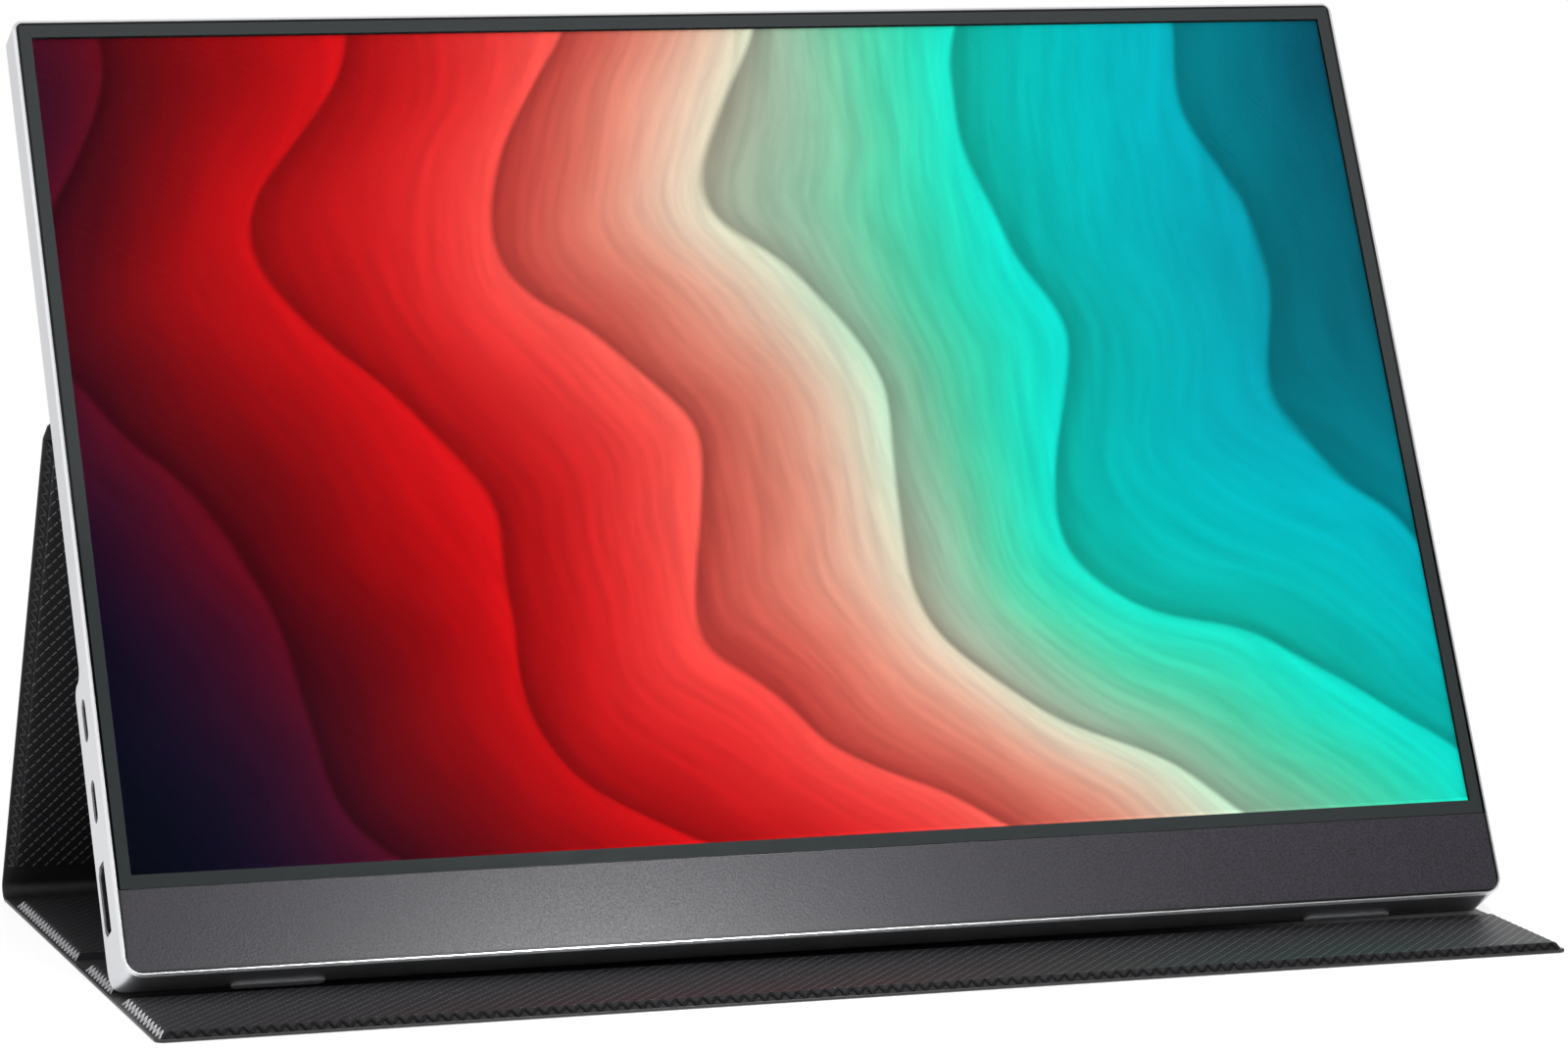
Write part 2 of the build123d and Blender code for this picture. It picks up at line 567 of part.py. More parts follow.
def make_display_flex():
    """The ribbon that bends from the timing board back to the main board."""
    start = PICTURE_BOTTOM + TIMING_BOARD_HEIGHT / 2
    edge = PICTURE_BOTTOM + TIMING_BOARD_HEIGHT + 2 * FLEX_BEND_RADIUS
    near = -(TIMING_BOARD_BACK + RIBBON_THICKNESS / 2)
    far = -(BOARD_FRONT - RIBBON_THICKNESS / 2)
    reach = FLEX_SLOPE * (near - far)
    corners = [(start, near), (edge, near), (edge + reach, far), (edge + 2 * reach, far)]
    path = Plane.YZ.offset(FLEX_X) * FilletPolyline(*corners, radius=FLEX_BEND_RADIUS)
    section = Plane.XZ.offset(-start) * Pos(FLEX_X, near) * Rectangle(FLEX_WIDTH, RIBBON_THICKNESS)
    return sweep(section, path=path)


# Sockets, keys and speakers

def make_socket(outline, inner, tongue, height, depth, length):
    """A metal socket shell, closed at its inner end, with the tongue inside."""
    mouth = -HALF_WIDTH + SOCKET_RECESS
    end = mouth + length
    shell = side_prism(outline, height, depth, mouth, end)
    shell -= side_prism(inner, height, depth, mouth, end - SHELL_WALL)
    return shell + side_prism(tongue, height, depth, mouth + TONGUE_SETBACK, end)


def make_usb_socket(height):
    tongue = Rectangle(USB_TONGUE_WIDTH, USB_TONGUE_THICKNESS)
    inner = usb_outline(-SHELL_WALL)
    return make_socket(usb_outline(), inner, tongue, height, USB_DEPTH, USB_SHELL_DEPTH)


def make_video_socket():
    tongue = Rectangle(VIDEO_TONGUE_WIDTH, VIDEO_TONGUE_THICKNESS)
    inner = video_outline(-SHELL_WALL)
    return make_socket(video_outline(), inner, tongue, VIDEO_HEIGHT, VIDEO_DEPTH, VIDEO_SHELL_DEPTH)


def make_headphone_jack():
    mouth = HALF_WIDTH - SOCKET_RECESS
    front = INNER_X - SOCKET_CLEARANCE
    body = Rectangle(JACK_BODY_WIDTH, JACK_BODY_THICKNESS)
    jack = side_prism(body, JACK_HEIGHT, JACK_DEPTH, front - JACK_BODY_LENGTH, front)
    jack += side_prism(Circle(JACK_BARREL_RADIUS), JACK_HEIGHT, JACK_DEPTH, front, mouth)
    bore = Circle(JACK_BORE_RADIUS)
    return jack - side_prism(bore, JACK_HEIGHT, JACK_DEPTH, mouth - JACK_BORE_DEPTH, mouth)


def make_key(height):
    """A key cap that passes through the wall, with the flange that keeps it in."""
    cap = side_prism(key_outline(), height, KEY_DEPTH, FLANGE_OUTSIDE, HALF_WIDTH + KEY_PROUD)
    cap = fillet(cap.faces().sort_by(Axis.X)[-1].edges(), KEY_PROUD / 2)
    flange = key_outline(KEY_FLANGE_EDGE)
    return cap + side_prism(flange, height, KEY_DEPTH, FLANGE_INSIDE, FLANGE_OUTSIDE)


def make_key_switches():
    plunger_end = FLANGE_INSIDE - KEY_TRAVEL_GAP
    body_end = plunger_end - SWITCH_PLUNGER_LENGTH
    switches = []
    for height in KEY_HEIGHTS.values():
        body = Rectangle(SWITCH_LENGTH, SWITCH_HEIGHT)
        switch = side_prism(body, height, KEY_DEPTH, body_end - SWITCH_DEPTH, body_end)
        plunger = Circle(SWITCH_PLUNGER_RADIUS)
        switches.append(switch + side_prism(plunger, height, KEY_DEPTH, body_end, plunger_end))
    return Compound(switches)


def make_speaker(x):
    """A flat speaker box that faces the slot in the underside, with its cone drawn in."""
    half = SPEAKER_LENGTH / 2
    bottom = SIDE_WALL + SPEAKER_GAP
    back = SPEAKER_FRONT + SPEAKER_THICKNESS
    box = slab(x - half, x + half, bottom, bottom + SPEAKER_HEIGHT, SPEAKER_FRONT, back)
    box = fillet(box.edges().filter_by(Axis.Z), SPEAKER_CORNER_RADIUS)
    cone = SlotOverall(SPEAKER_CONE_LENGTH, SPEAKER_CONE_WIDTH)
    middle = (SPEAKER_FRONT + back) / 2
    return box - bottom_prism(cone, x, middle, bottom, bottom + SPEAKER_CONE_DEPTH)


def make_foot(x):
    outline = SlotOverall(FOOT_LENGTH, FOOT_WIDTH)
    foot = bottom_prism(outline, x, FOOT_DEPTH, -FOOT_PROUD, FOOT_RECESS)
    return fillet(foot.faces().sort_by(Axis.Y)[0].edges(), FOOT_PROUD / 2)


def magnet_pair(front, back):
    """Two plates side by side, at the height where the cover holds."""
    bottom = MAGNET_HEIGHT - MAGNET_WIDTH / 2
    plates = []
    for centre in (-MAGNET_X, MAGNET_X):
        x0 = centre - MAGNET_LENGTH / 2
        plates.append(slab(x0, x0 + MAGNET_LENGTH, bottom, bottom + MAGNET_WIDTH, front, back))
    return Compound(plates)


def make_monitor():
    """Every piece of the monitor, stood at its lean."""
    pieces = {"rear_housing": make_rear_housing()}
    pieces.update(make_front_plates())
    pieces.update(make_display())
    pieces["timing_board"] = make_timing_board()
    pieces["display_flex"] = make_display_flex()
    pieces["main_board"] = make_main_board()
    pieces["board_chips"] = make_board_chips()
    pieces["usb_c_port_upper"] = make_usb_socket(USB_UPPER_HEIGHT)
    pieces["usb_c_port_lower"] = make_usb_socket(USB_LOWER_HEIGHT)
    pieces["video_port"] = make_video_socket()
    pieces["side_board"] = make_side_board()
    pieces["side_ribbon"] = make_side_ribbon()
    pieces["key_switches"] = make_key_switches()
    pieces["headphone_jack"] = make_headphone_jack()
    pieces["board_screws"] = make_board_screws()
    pieces["speaker_left"] = make_speaker(-SLOT_X)
    pieces["speaker_right"] = make_speaker(SLOT_X)
    pieces["magnet_keepers"] = magnet_pair(UPPER_FLOOR - KEEPER_THICKNESS, UPPER_FLOOR)
    pieces["foot_left"] = make_foot(-FOOT_X)
    pieces["foot_right"] = make_foot(FOOT_X)
    for name, height in KEY_HEIGHTS.items():
        pieces[name + "_button"] = make_key(height)
    return {name: MONITOR_FRAME * piece for name, piece in pieces.items()}


# Cover

def panel_outline(width, start, end, corner, free_end):
    """A panel's plan between two heights. Its corners are rounded where it has a free end."""
    outline = Pos(0, (start + end) / 2) * Rectangle(width, end - start)
    if free_end is None:
        return outline
    corners = outline.vertices().group_by(Axis.Y)[0 if free_end == "start" else -1]
    return fillet(corners, max(corner, SMALLEST_RADIUS))


def make_panel(name, width, length, corner=0.0, free_end=None, magnets=None):
    """Skin, stiff board and lining of one panel. A free end is its start or its end."""
    start = EDGE_BORDER if free_end == "start" else FOLD_BORDER
    end = length - (EDGE_BORDER if free_end == "end" else FOLD_BORDER)
    whole = panel_outline(width, 0, length, corner, free_end)
    inner = panel_outline(width - 2 * EDGE_BORDER, start, end, corner - EDGE_BORDER, free_end)
    board = Pos(0, 0, OUTER_SKIN) * extrude(inner, STIFFENER)
    skin = extrude(whole, OUTER_SKIN + STIFFENER) - board
    lining = Pos(0, 0, OUTER_SKIN + STIFFENER) * extrude(whole, LINING)
    if magnets:
        board -= magnets
    return {name + "_skin": skin, name + "_board": board, name + "_lining": lining}


def make_flap_magnets():
    """Magnets in the front flap's board, near its free edge."""
    magnets = []
    for x in (-FLAP_MAGNET_X, FLAP_MAGNET_X):
        size = (FLAP_MAGNET_LENGTH, FLAP_MAGNET_WIDTH, STIFFENER)
        place = Pos(x, EDGE_BORDER + FLAP_MAGNET_WIDTH, OUTER_SKIN + STIFFENER / 2)
        magnets.append(place * Box(*size))
    return Compound(magnets)


def make_back_magnets():
    """Magnets in the back panel's board, over the keepers in the housing."""
    magnets = magnet_pair(0, STIFFENER)
    return Pos(0, -BACK_PANEL_START, OUTER_SKIN + STIFFENER) * magnets


def fold_strip(start, end):
    """A flat fold between two flaps, thinner than they are."""
    place = Pos(0, (start + end) / 2, FOLD_MIDDLE)
    return place * Box(COVER_WIDTH, end - start, FOLD_THICKNESS)


def make_spine_fold(start):
    """The spine: flat behind the rear flap, then bent up into the leg."""
    flat = Line((start, FOLD_MIDDLE), (BEND_Y, FOLD_MIDDLE))
    bend = CenterArc((BEND_Y, BEND_Z), SPINE_BEND_RADIUS - FOLD_MIDDLE, -90, LEG_ANGLE)
    rise = Line(bend @ 1, (bend @ 1) + (bend % 1) * LEG_END)
    path = Plane.YZ * (flat + bend + rise)
    section = Plane.XZ.offset(-start) * Pos(0, FOLD_MIDDLE) * Rectangle(COVER_WIDTH, FOLD_THICKNESS)
    return sweep(section, path=path)


def back_fold_outline(bottom, top):
    """The back fold seen from the front: as wide as the leg, then in to the back panel."""
    half_leg = COVER_WIDTH / 2
    half_panel = half_leg - BACK_PANEL_INSET
    right = [(half_leg, bottom), (half_leg, BACK_FOLD_Z), (half_panel, top)]
    left = [(-x, z) for x, z in reversed(right)]
    outline = make_face(Polyline(*right, *left, close=True))
    return extrude(Plane.XZ * outline, COVER_DEPTH, both=True)


def make_back_fold():
    """The fold from the leg's top into the panel on the monitor's back."""
    up_leg = Vector(0, 1, 0).rotate(Axis.X, LEG_ANGLE)
    up_back = Vector(0, 1, 0).rotate(Axis.X, 90 - LEAN_ANGLE)
    off_leg = Vector(0, 0, 1).rotate(Axis.X, LEG_ANGLE)
    off_back = Vector(0, 0, 1).rotate(Axis.X, 90 - LEAN_ANGLE)
    pivot = Vector(0, BACK_FOLD_Y, BACK_FOLD_Z)
    inset = FOLD_MIDDLE - FOLD_PIVOT
    start = pivot + off_leg * inset - up_leg * LEG_END
    corner = pivot + (off_leg + off_back) * (inset / (1 + off_leg.dot(off_back)))
    end = pivot + off_back * inset + up_back * BACK_FOLD_LAP
    path = FilletPolyline(start, corner, end, radius=2 * FOLD)
    plane = Plane(origin=start, x_dir=(1, 0, 0), z_dir=up_leg)
    strip = sweep(plane * Rectangle(COVER_WIDTH, FOLD_THICKNESS), path=path)
    return strip & back_fold_outline(start.Z - FOLD, end.Z + FOLD)


def make_cover():
    """The five panels and four folds, in place under and behind the monitor."""
    front_end = COVER_FRONT + FRONT_FLAP
    middle_start = front_end + FRONT_GROOVE
    middle_end = middle_start + MIDDLE_FLAP
    rear_start = middle_end + REAR_GROOVE
    rear_end = rear_start + REAR_FLAP
    flap_magnets = make_flap_magnets()
    back_magnets = make_back_magnets()
    front_flap = make_panel(
        "front_flap", COVER_WIDTH, FRONT_FLAP, FLAP_CORNER_RADIUS, "start", flap_magnets
    )
    back_panel = make_panel(
        "back_panel", BACK_PANEL_WIDTH, BACK_PANEL_LENGTH, BACK_CORNER_RADIUS, "end", back_magnets
    )
    placed = [
        (Pos(0, COVER_FRONT), front_flap),
        (Pos(0, COVER_FRONT), {"flap_magnets": flap_magnets}),
        (Pos(0, middle_start), make_panel("middle_flap", COVER_WIDTH, MIDDLE_FLAP)),
        (Pos(0, rear_start), make_panel("rear_flap", COVER_WIDTH, REAR_FLAP)),
        (LEG_FRAME * Pos(0, LEG_END), make_panel("leg", COVER_WIDTH, LEG_LENGTH)),
        (BACK_FRAME * Pos(0, BACK_PANEL_START), back_panel),
        (BACK_FRAME * Pos(0, BACK_PANEL_START), {"back_magnets": back_magnets}),
    ]
    pieces = {}
    for place, panel in placed:
        for name, piece in panel.items():
            pieces[name] = place * piece
    pieces["front_fold"] = fold_strip(front_end, middle_start)
    pieces["middle_fold"] = fold_strip(middle_end, rear_start)
    pieces["spine_fold"] = make_spine_fold(rear_end)
    pieces["back_fold"] = make_back_fold()
    return pieces


def main():
    os.makedirs("parts", exist_ok=True)
    for name, piece in {**make_monitor(), **make_cover()}.items():
        export_step(piece, f"parts/{name}.step")


if __name__ == "__main__":
    main()
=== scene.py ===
from math import asin, cos, pi, radians, sin, tan

import bmesh
import bpy
import numpy as np
from mathutils import Matrix, Vector


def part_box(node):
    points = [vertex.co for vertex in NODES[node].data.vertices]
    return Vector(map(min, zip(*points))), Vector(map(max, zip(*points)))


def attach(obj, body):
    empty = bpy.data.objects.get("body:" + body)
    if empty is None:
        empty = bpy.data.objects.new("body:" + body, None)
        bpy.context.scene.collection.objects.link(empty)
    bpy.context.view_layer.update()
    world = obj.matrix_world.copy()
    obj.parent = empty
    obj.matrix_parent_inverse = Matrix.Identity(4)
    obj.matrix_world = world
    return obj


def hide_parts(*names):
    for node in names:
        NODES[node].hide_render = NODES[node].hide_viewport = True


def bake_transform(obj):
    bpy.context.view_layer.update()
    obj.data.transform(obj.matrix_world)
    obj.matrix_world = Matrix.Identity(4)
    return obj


bl_info = {
    "name": "Portable monitor with folding cover",
    "version": (1, 0, 0),
    "blender": (4, 5, 0),
    "location": "View3D > Sidebar > Monitor",
    "description": "Dresses the portable monitor, models its folding cover and sets up the studio",
    "category": "Object",
}

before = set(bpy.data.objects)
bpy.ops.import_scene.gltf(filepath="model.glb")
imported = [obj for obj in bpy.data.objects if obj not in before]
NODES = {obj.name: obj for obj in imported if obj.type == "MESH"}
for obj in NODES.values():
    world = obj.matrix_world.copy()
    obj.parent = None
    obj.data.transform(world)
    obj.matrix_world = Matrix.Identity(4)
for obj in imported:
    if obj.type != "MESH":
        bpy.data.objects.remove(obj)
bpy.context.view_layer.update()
MM = 0.001

FLAPS = ("front_flap", "middle_flap", "rear_flap")
PANELS = FLAPS + ("leg", "back_panel")
FREE_END = {"front_flap": "start", "back_panel": "end"}
CORNER = {"front_flap": 2.0 * MM, "back_panel": 8.0 * MM}
LEAST_CORNER = 0.05 * MM
CORNER_STEPS = 8
EDGE_STEPS = 4
FLAT_LIMIT = 0.97
END_RUN = 0.85
FOLD_RUN = 0.6
# Width of the painted shade along the outline of the glass and the chin, where the gap to the
# housing's rim falls in shade
RIM_LINE = 0.55 * MM
ROW_TURN = radians(50)

# A zigzag's middle and reach, as shares of the slope, and its cord's height
SIDE_SWING = (0.36, 0.42, 0.38 * MM)
END_SWING = (0.44, 0.38, 0.5 * MM)
SWING_STEPS = 12
SWING_ROUNDING = 0.97
CORD_PROUD = 0.18

STRAIGHT_STEPS = 6
CREASE_DEPTH = 0.05 * MM
CREASE_RUN = 0.9 * MM

# The flat folds, the panels on both sides and the steps round the hinge where they bend
FLAT_FOLDS = (
    ("front_fold", "front_flap", "middle_flap", (0, 3)),
    ("middle_fold", "middle_flap", "rear_flap", (9, 15)),
)
FLAT_FOLD_STEPS = 24

# The round folds, the panels on both sides, the radius and the steps of the arc
ROUND_FOLDS = (
    ("spine_fold", "rear_flap", "leg", 3.0 * MM, 24),
    ("back_fold", "leg", "back_panel", 1.2 * MM, 12),
)

# The softboxes' names, places, targets and sizes; the camera doesn't see the strip
SOFTBOXES = (
    ("key", (-1.15, -0.55, 0.95), (0.0, 0.0, 0.08), (0.7, 0.7)),
    ("top", (0.1, 0.1, 1.3), (0.0, 0.0, 0.1), (0.9, 0.9)),
    ("strip", (0.05, -0.345, 0.225), (-0.052, -0.045, 0.014), (0.02, 0.06)),
)

# The black card's corners across and up its plane, and how far it stands out of the chin's foot.
# Its low part darkens the rim toward the right
CARD_OUTLINE = (
    (-0.2, 0.02), (0.07, 0.02), (0.155, -0.24), (0.48, -0.24), (0.48, 0.27), (-0.2, 0.27),
)
CARD_REACH = 0.44
CHIN_FOOT = Vector((0.0, -0.047, 0.007))

# The picture's colours, each with its place across the folds, and the shading along one fold
SILK = (
    (0.00, 6, 8, 24), (0.08, 14, 12, 44), (0.16, 96, 4, 14), (0.25, 196, 8, 12),
    (0.34, 246, 22, 30), (0.42, 252, 84, 78), (0.49, 250, 160, 132), (0.55, 214, 238, 214),
    (0.61, 40, 226, 166), (0.69, 0, 232, 214), (0.78, 0, 190, 204), (0.87, 2, 110, 132),
    (0.94, 4, 48, 68), (1.00, 2, 16, 30),
)
SILK_SHADING = ((0.0, 0.5), (0.1, 0.72), (0.45, 0.95), (0.86, 1.18), (0.97, 1.32), (1.0, 0.5))

# The camera's turn, tilt and roll in degrees, the point it looks at and how far that is
CAMERA_ANGLES = (18.1958, 7.7088, 0.2336)
CAMERA_TARGET = Vector((-12.57, -46.85, 95.46)) * MM
CAMERA_DISTANCE = 1334.0 * MM


def srgb(red, green, blue):
    """A display colour from 0 to 255 as Blender's linear colour."""
    shares = (red / 255, green / 255, blue / 255)
    return tuple(c / 12.92 if c <= 0.04045 else ((c + 0.055) / 1.055) ** 2.4 for c in shares)


def a_colour(name, description, default):
    return bpy.props.FloatVectorProperty(
        name=name, description=description, default=default, subtype="COLOR", size=3, min=0, max=1
    )


def a_length(name, description, millimetres):
    return bpy.props.FloatProperty(
        name=name, description=description, default=millimetres * MM, min=0, unit="LENGTH",
        subtype="DISTANCE", precision=5,
    )


def a_power(name, description, watts):
    return bpy.props.FloatProperty(
        name=name, description=description, default=watts, min=0, unit="POWER"
    )


def a_share(name, description, default, highest=1.0):
    return bpy.props.FloatProperty(
        name=name, description=description, default=default, min=0, max=highest, subtype="FACTOR"
    )


# Settings


class MonitorColours(bpy.types.PropertyGroup):
    """Colours of the monitor's finishes"""

    housing: a_colour("Housing", "Satin metal of the housing", srgb(203, 204, 207))
    border: a_colour("Glass border", "Print behind the glass round the picture", srgb(46, 50, 51))
    chin: a_colour("Chin", "Textured strip under the glass", srgb(43, 41, 47))
    # Painted shade: the near-black colour of the line painted round the glass and the chin,
    # standing in for the shaded gap to the housing's rim
    painted_gap_shade: a_colour("Rim gap", "Dark line inside the housing's rim", srgb(6, 6, 7))
    resin: a_colour("Resin", "Tongues, chips and speakers", srgb(24, 24, 26))
    steel: a_colour("Steel", "Sockets, tray, screws and keepers", srgb(176, 178, 182))
    socket: a_colour("Sockets", "Plated shells of the sockets", srgb(84, 85, 89))
    rubber: a_colour("Feet", "Rubber strips in the underside", srgb(176, 177, 181))
    board: a_colour("Boards", "Lacquer of the circuit boards", srgb(22, 74, 52))
    copper: a_colour("Contacts", "Plated tracks and contacts", srgb(206, 166, 92))
    ribbon: a_colour("Ribbons", "Film of the ribbons", srgb(156, 92, 30))
    film: a_colour("Films", "Diffuser, prism films and light guide", srgb(225, 232, 236))
    diode: a_colour("Diodes", "Phosphor of the backlight diodes", srgb(236, 214, 120))
    magnet: a_colour("Magnets", "Nickel plating of the magnets", srgb(160, 160, 164))


class CoverColours(bpy.types.PropertyGroup):
    """Colours of the cover's finishes"""

    outside: a_colour("Outside", "Grained outer skin", srgb(24, 24, 26))
    inside: a_colour("Inside", "Embossed lining", srgb(21, 21, 24))
    # Painted highlights: the light colours of the row edges, on the lining and on the flaps, stand
    # in for light catching the tiles' raised edges
    raised: a_colour("Row edges", "Light edge of the lining's rows", srgb(130, 131, 136))
    ripple: a_colour("Flap row edges", "Edge of the rows on the flaps", srgb(76, 77, 81))
    # Painted light and shade on one thread: the flaps' side cord is its lit copy, the cords on the
    # leg, the back and the free ends are shaded copies
    side_cord: a_colour("Side cord", "Zigzag cord along the flaps' sides", srgb(188, 188, 192))
    dark_cord: a_colour("Dark cord", "Zigzag cord on the leg and the back", srgb(30, 30, 32))
    end_cord: a_colour("End cord", "Zigzag cord along the free ends", srgb(4, 4, 5))
    board: a_colour("Board", "Grey board inside the panels", srgb(122, 118, 112))


class CoverSizes(bpy.types.PropertyGroup):
    """Sizes of the cover's edges and trims"""

    flange: a_length("Flange", "Skin beyond the raised part, at the sides", 1.05)
    end_flange: a_length("End flange", "Skin beyond the raised part, at a free end", 0.5)
    fold_flange: a_length("Fold flange", "Skin beyond the raised part, at a fold", 0.3)
    skin: a_length("Skin", "Thickness of the skin at the flange", 0.7)
    board_bed: a_length("Board bed", "Thickness of the skin under the board", 0.55)
    lining: a_length("Lining", "Thickness of the lining over the board", 0.45)
    slope: a_length("Slope", "Run of the raised part's side", 1.25)
    edge_radius: a_length("Edge radius", "Rounding of the skin's edge", 0.2)
    pitch: a_length("Zigzag pitch", "Length of one zigzag along the sides", 2.75)
    end_pitch: a_length("End zigzag pitch", "Length of one zigzag along a free end", 2.95)
    cord: a_length("Cord", "Width of the zigzag cord", 0.72)
    row_pitch: a_length("Row pitch", "Distance between the lining's slanting rows", 2.15)
    tile_pitch: a_length("Tile pitch", "Length of one tile along a row", 1.75)


class PictureSettings(bpy.types.PropertyGroup):
    """The abstract picture on the screen"""

    width: a_length("Width", "Width of the lit picture", 301.6)
    height: a_length("Height", "Height of the lit picture", 191.5)
    bottom: a_length("Bottom", "Height of the picture over the cell's lower edge", 1.1)
    turn: bpy.props.FloatProperty(
        name="Turn", description="Direction across the coloured folds", default=radians(24),
        subtype="ANGLE", unit="ROTATION",
    )
    brightness: a_share("Brightness", "Strength of the lit picture", 1.0, 2.0)


class StudioSettings(bpy.types.PropertyGroup):
    """Stage, lights and camera"""

    floor: a_colour("Floor", "Plain floor", (0.8, 0.8, 0.8))
    floor_glow: a_share("Floor glow", "Share of white the camera sees on the floor", 0.62)
    ambient: a_share("Ambient", "Light from all round", 0.28, 2.0)
    key: a_power("Key", "Softbox above the left", 8.5)
    top: a_power("Top", "Softbox overhead", 3.0)
    strip: a_power("Strip", "Narrow softbox in front", 1.3)
    focal_length: bpy.props.FloatProperty(
        name="Focal length", description="Lens of the camera", default=145.65, min=1, unit="CAMERA"
    )


# Finishes


class Nodes:
    """Short calls for the nodes of a material or of the world."""

    def __init__(self, tree):
        self.tree = tree

    def join(self, source, target):
        """Links a socket, or writes a value on the target socket itself."""
        if isinstance(source, bpy.types.NodeSocket):
            self.tree.links.new(source, target)
        elif target.type == "RGBA" and len(source) == 3:
            target.default_value = (*source, 1.0)
        else:
            target.default_value = source

    def node(self, kind, *inputs, **settings):
        """A node with its settings and its first inputs filled; None leaves one alone."""
        made = self.tree.nodes.new("ShaderNode" + kind)
        for name, value in settings.items():
            setattr(made, name, value)
        for socket, value in zip(made.inputs, inputs):
            if value is not None:
                self.join(value, socket)
        return made

    def place(self):
        """The point in the part's own frame."""
        return self.node("TexCoord").outputs["Object"]

    def flat_place(self):
        """The point on the piece laid flat, in metres."""
        return self.node("TexCoord").outputs["UV"]

    def math(self, operation, *values):
        return self.node("Math", *values, operation=operation).outputs[0]

    def times(self, first, second):
        return self.math("MULTIPLY", first, second)

    def less(self, first, second):
        return self.math("SUBTRACT", first, second)

    def fused(self, value, factor, plus):
        return self.math("MULTIPLY_ADD", value, factor, plus)

    def dot(self, vector, direction):
        return self.node("VectorMath", vector, direction, operation="DOT_PRODUCT").outputs["Value"]

    def noise(self, vector, scale, detail=2.0, roughness=0.5):
        made = self.node("TexNoise", vector)
        made.inputs["Scale"].default_value = scale
        made.inputs["Detail"].default_value = detail
        made.inputs["Roughness"].default_value = roughness
        return made.outputs["Fac"]

    def cells(self, vector, scale, feature="F1"):
        made = self.node("TexVoronoi", vector, feature=feature)
        made.inputs["Scale"].default_value = scale
        return made.outputs["Distance"]

    def stretch(self, vector, scale, turn=0.0):
        """The vector turned about Z, then scaled."""
        turned = self.node("VectorRotate", vector, rotation_type="Z_AXIS")
        turned.inputs["Angle"].default_value = turn
        return self.node("VectorMath", turned.outputs[0], scale, operation="MULTIPLY").outputs[0]

    def seen(self):
        """1 where the camera sees a thing, also in a reflection or through a clear piece."""
        path = self.node("LightPath").outputs
        rays = self.math("MAXIMUM", path["Is Camera Ray"], path["Is Glossy Ray"])
        return self.math("MAXIMUM", rays, path["Is Transmission Ray"])

    def span(self, value, low, high, to_low=0.0, to_high=1.0):
        """The value from low to high, carried smoothly over to another span."""
        made = self.node(
            "MapRange", value, low, high, to_low, to_high, interpolation_type="SMOOTHSTEP"
        )
        return made.outputs[0]

    def vary(self, noise, to_low, to_high):
        """A noise's usual span, carried over to another one."""
        return self.span(noise, 0.3, 0.7, to_low, to_high)

    def tones(self, share, colour, dark, light):
        """From a darker to a lighter tone of a colour."""
        return self.mix(share, shade(colour, dark), shade(colour, light))

    def mix(self, share, first, second, blend="MIX"):
        made = self.node("Mix", data_type="RGBA", blend_type=blend)
        for socket, value in zip((0, 6, 7), (share, first, second)):
            self.join(value, made.inputs[socket])
        return made.outputs[2]

    def wave(self, value, length):
        """A sine from -1 to 1 that repeats every length."""
        return self.math("SINE", self.times(value, 2 * pi / length))

    def grey(self, value):
        return self.node("CombineColor", value, value, value).outputs[0]

    def part(self, value, pitch):
        """How far a length is into its repeat, from 0 to 1."""
        return self.math("FRACT", self.math("DIVIDE", value, pitch))

    def line(self, value, middle, half):
        """1 in a soft line round a middle value, 0 outside it."""
        off = self.math("ABSOLUTE", self.less(value, middle))
        return self.span(off, half * 0.55, half * 1.45, 1.0, 0.0)

    def ramp(self, value, stops, interpolation="LINEAR"):
        made = self.node("ValToRGB", value)
        ramp = made.color_ramp
        ramp.interpolation = interpolation
        while len(ramp.elements) < len(stops):
            ramp.elements.new(1.0)
        for element, (position, colour) in zip(ramp.elements, stops):
            element.position = position
            element.color = (*colour, 1.0)
        return made.outputs["Color"]


class Finish(Nodes):
    """A material with one surface shader."""

    def __init__(self, name):
        self.material = bpy.data.materials.new(name)
        self.material.use_nodes = True
        super().__init__(self.material.node_tree)
        self.tree.nodes.clear()
        self.output = self.tree.nodes.new("ShaderNodeOutputMaterial")
        self.surface = self.tree.nodes.new("ShaderNodeBsdfPrincipled")
        self.join(self.surface.outputs[0], self.output.inputs["Surface"])

    def set(self, **values):
        """Sets the surface's sockets. An underscore in a name stands for a space."""
        for name, value in values.items():
            self.join(value, self.surface.inputs[name.replace("_", " ")])
        return self

    def done(self, colour, roughness, height, depth, **values):
        """The material with these values, and a height from 0 to 1 as deep as depth in mm."""
        bump = self.node("Bump")
        bump.inputs["Distance"].default_value = depth * MM
        self.join(height, bump.inputs["Height"])
        self.set(Base_Color=colour, Roughness=roughness, Normal=bump.outputs[0], **values)
        return self.material


def shade(colour, factor):
    return tuple(min(1.0, c * factor) for c in colour)


def grained(name, colour, roughness, grain, depth, metallic=0.0, variation=0.12, **values):
    """A plain finish whose colour, gloss and surface vary with a grain, in millimetres."""
    made = Finish(name)
    place = made.place()
    grain *= MM
    fine = made.noise(place, 1 / grain, 3.0)
    broad = made.noise(place, 1 / (grain * 60), 2.0)
    both = made.fused(fine, 0.6, made.times(broad, 0.4))
    tone = made.tones(both, colour, 1 - variation, 1 + variation)
    matt = made.vary(fine, roughness - 0.05, roughness + 0.05)
    return made.done(tone, matt, fine, depth, Metallic=metallic, **values)


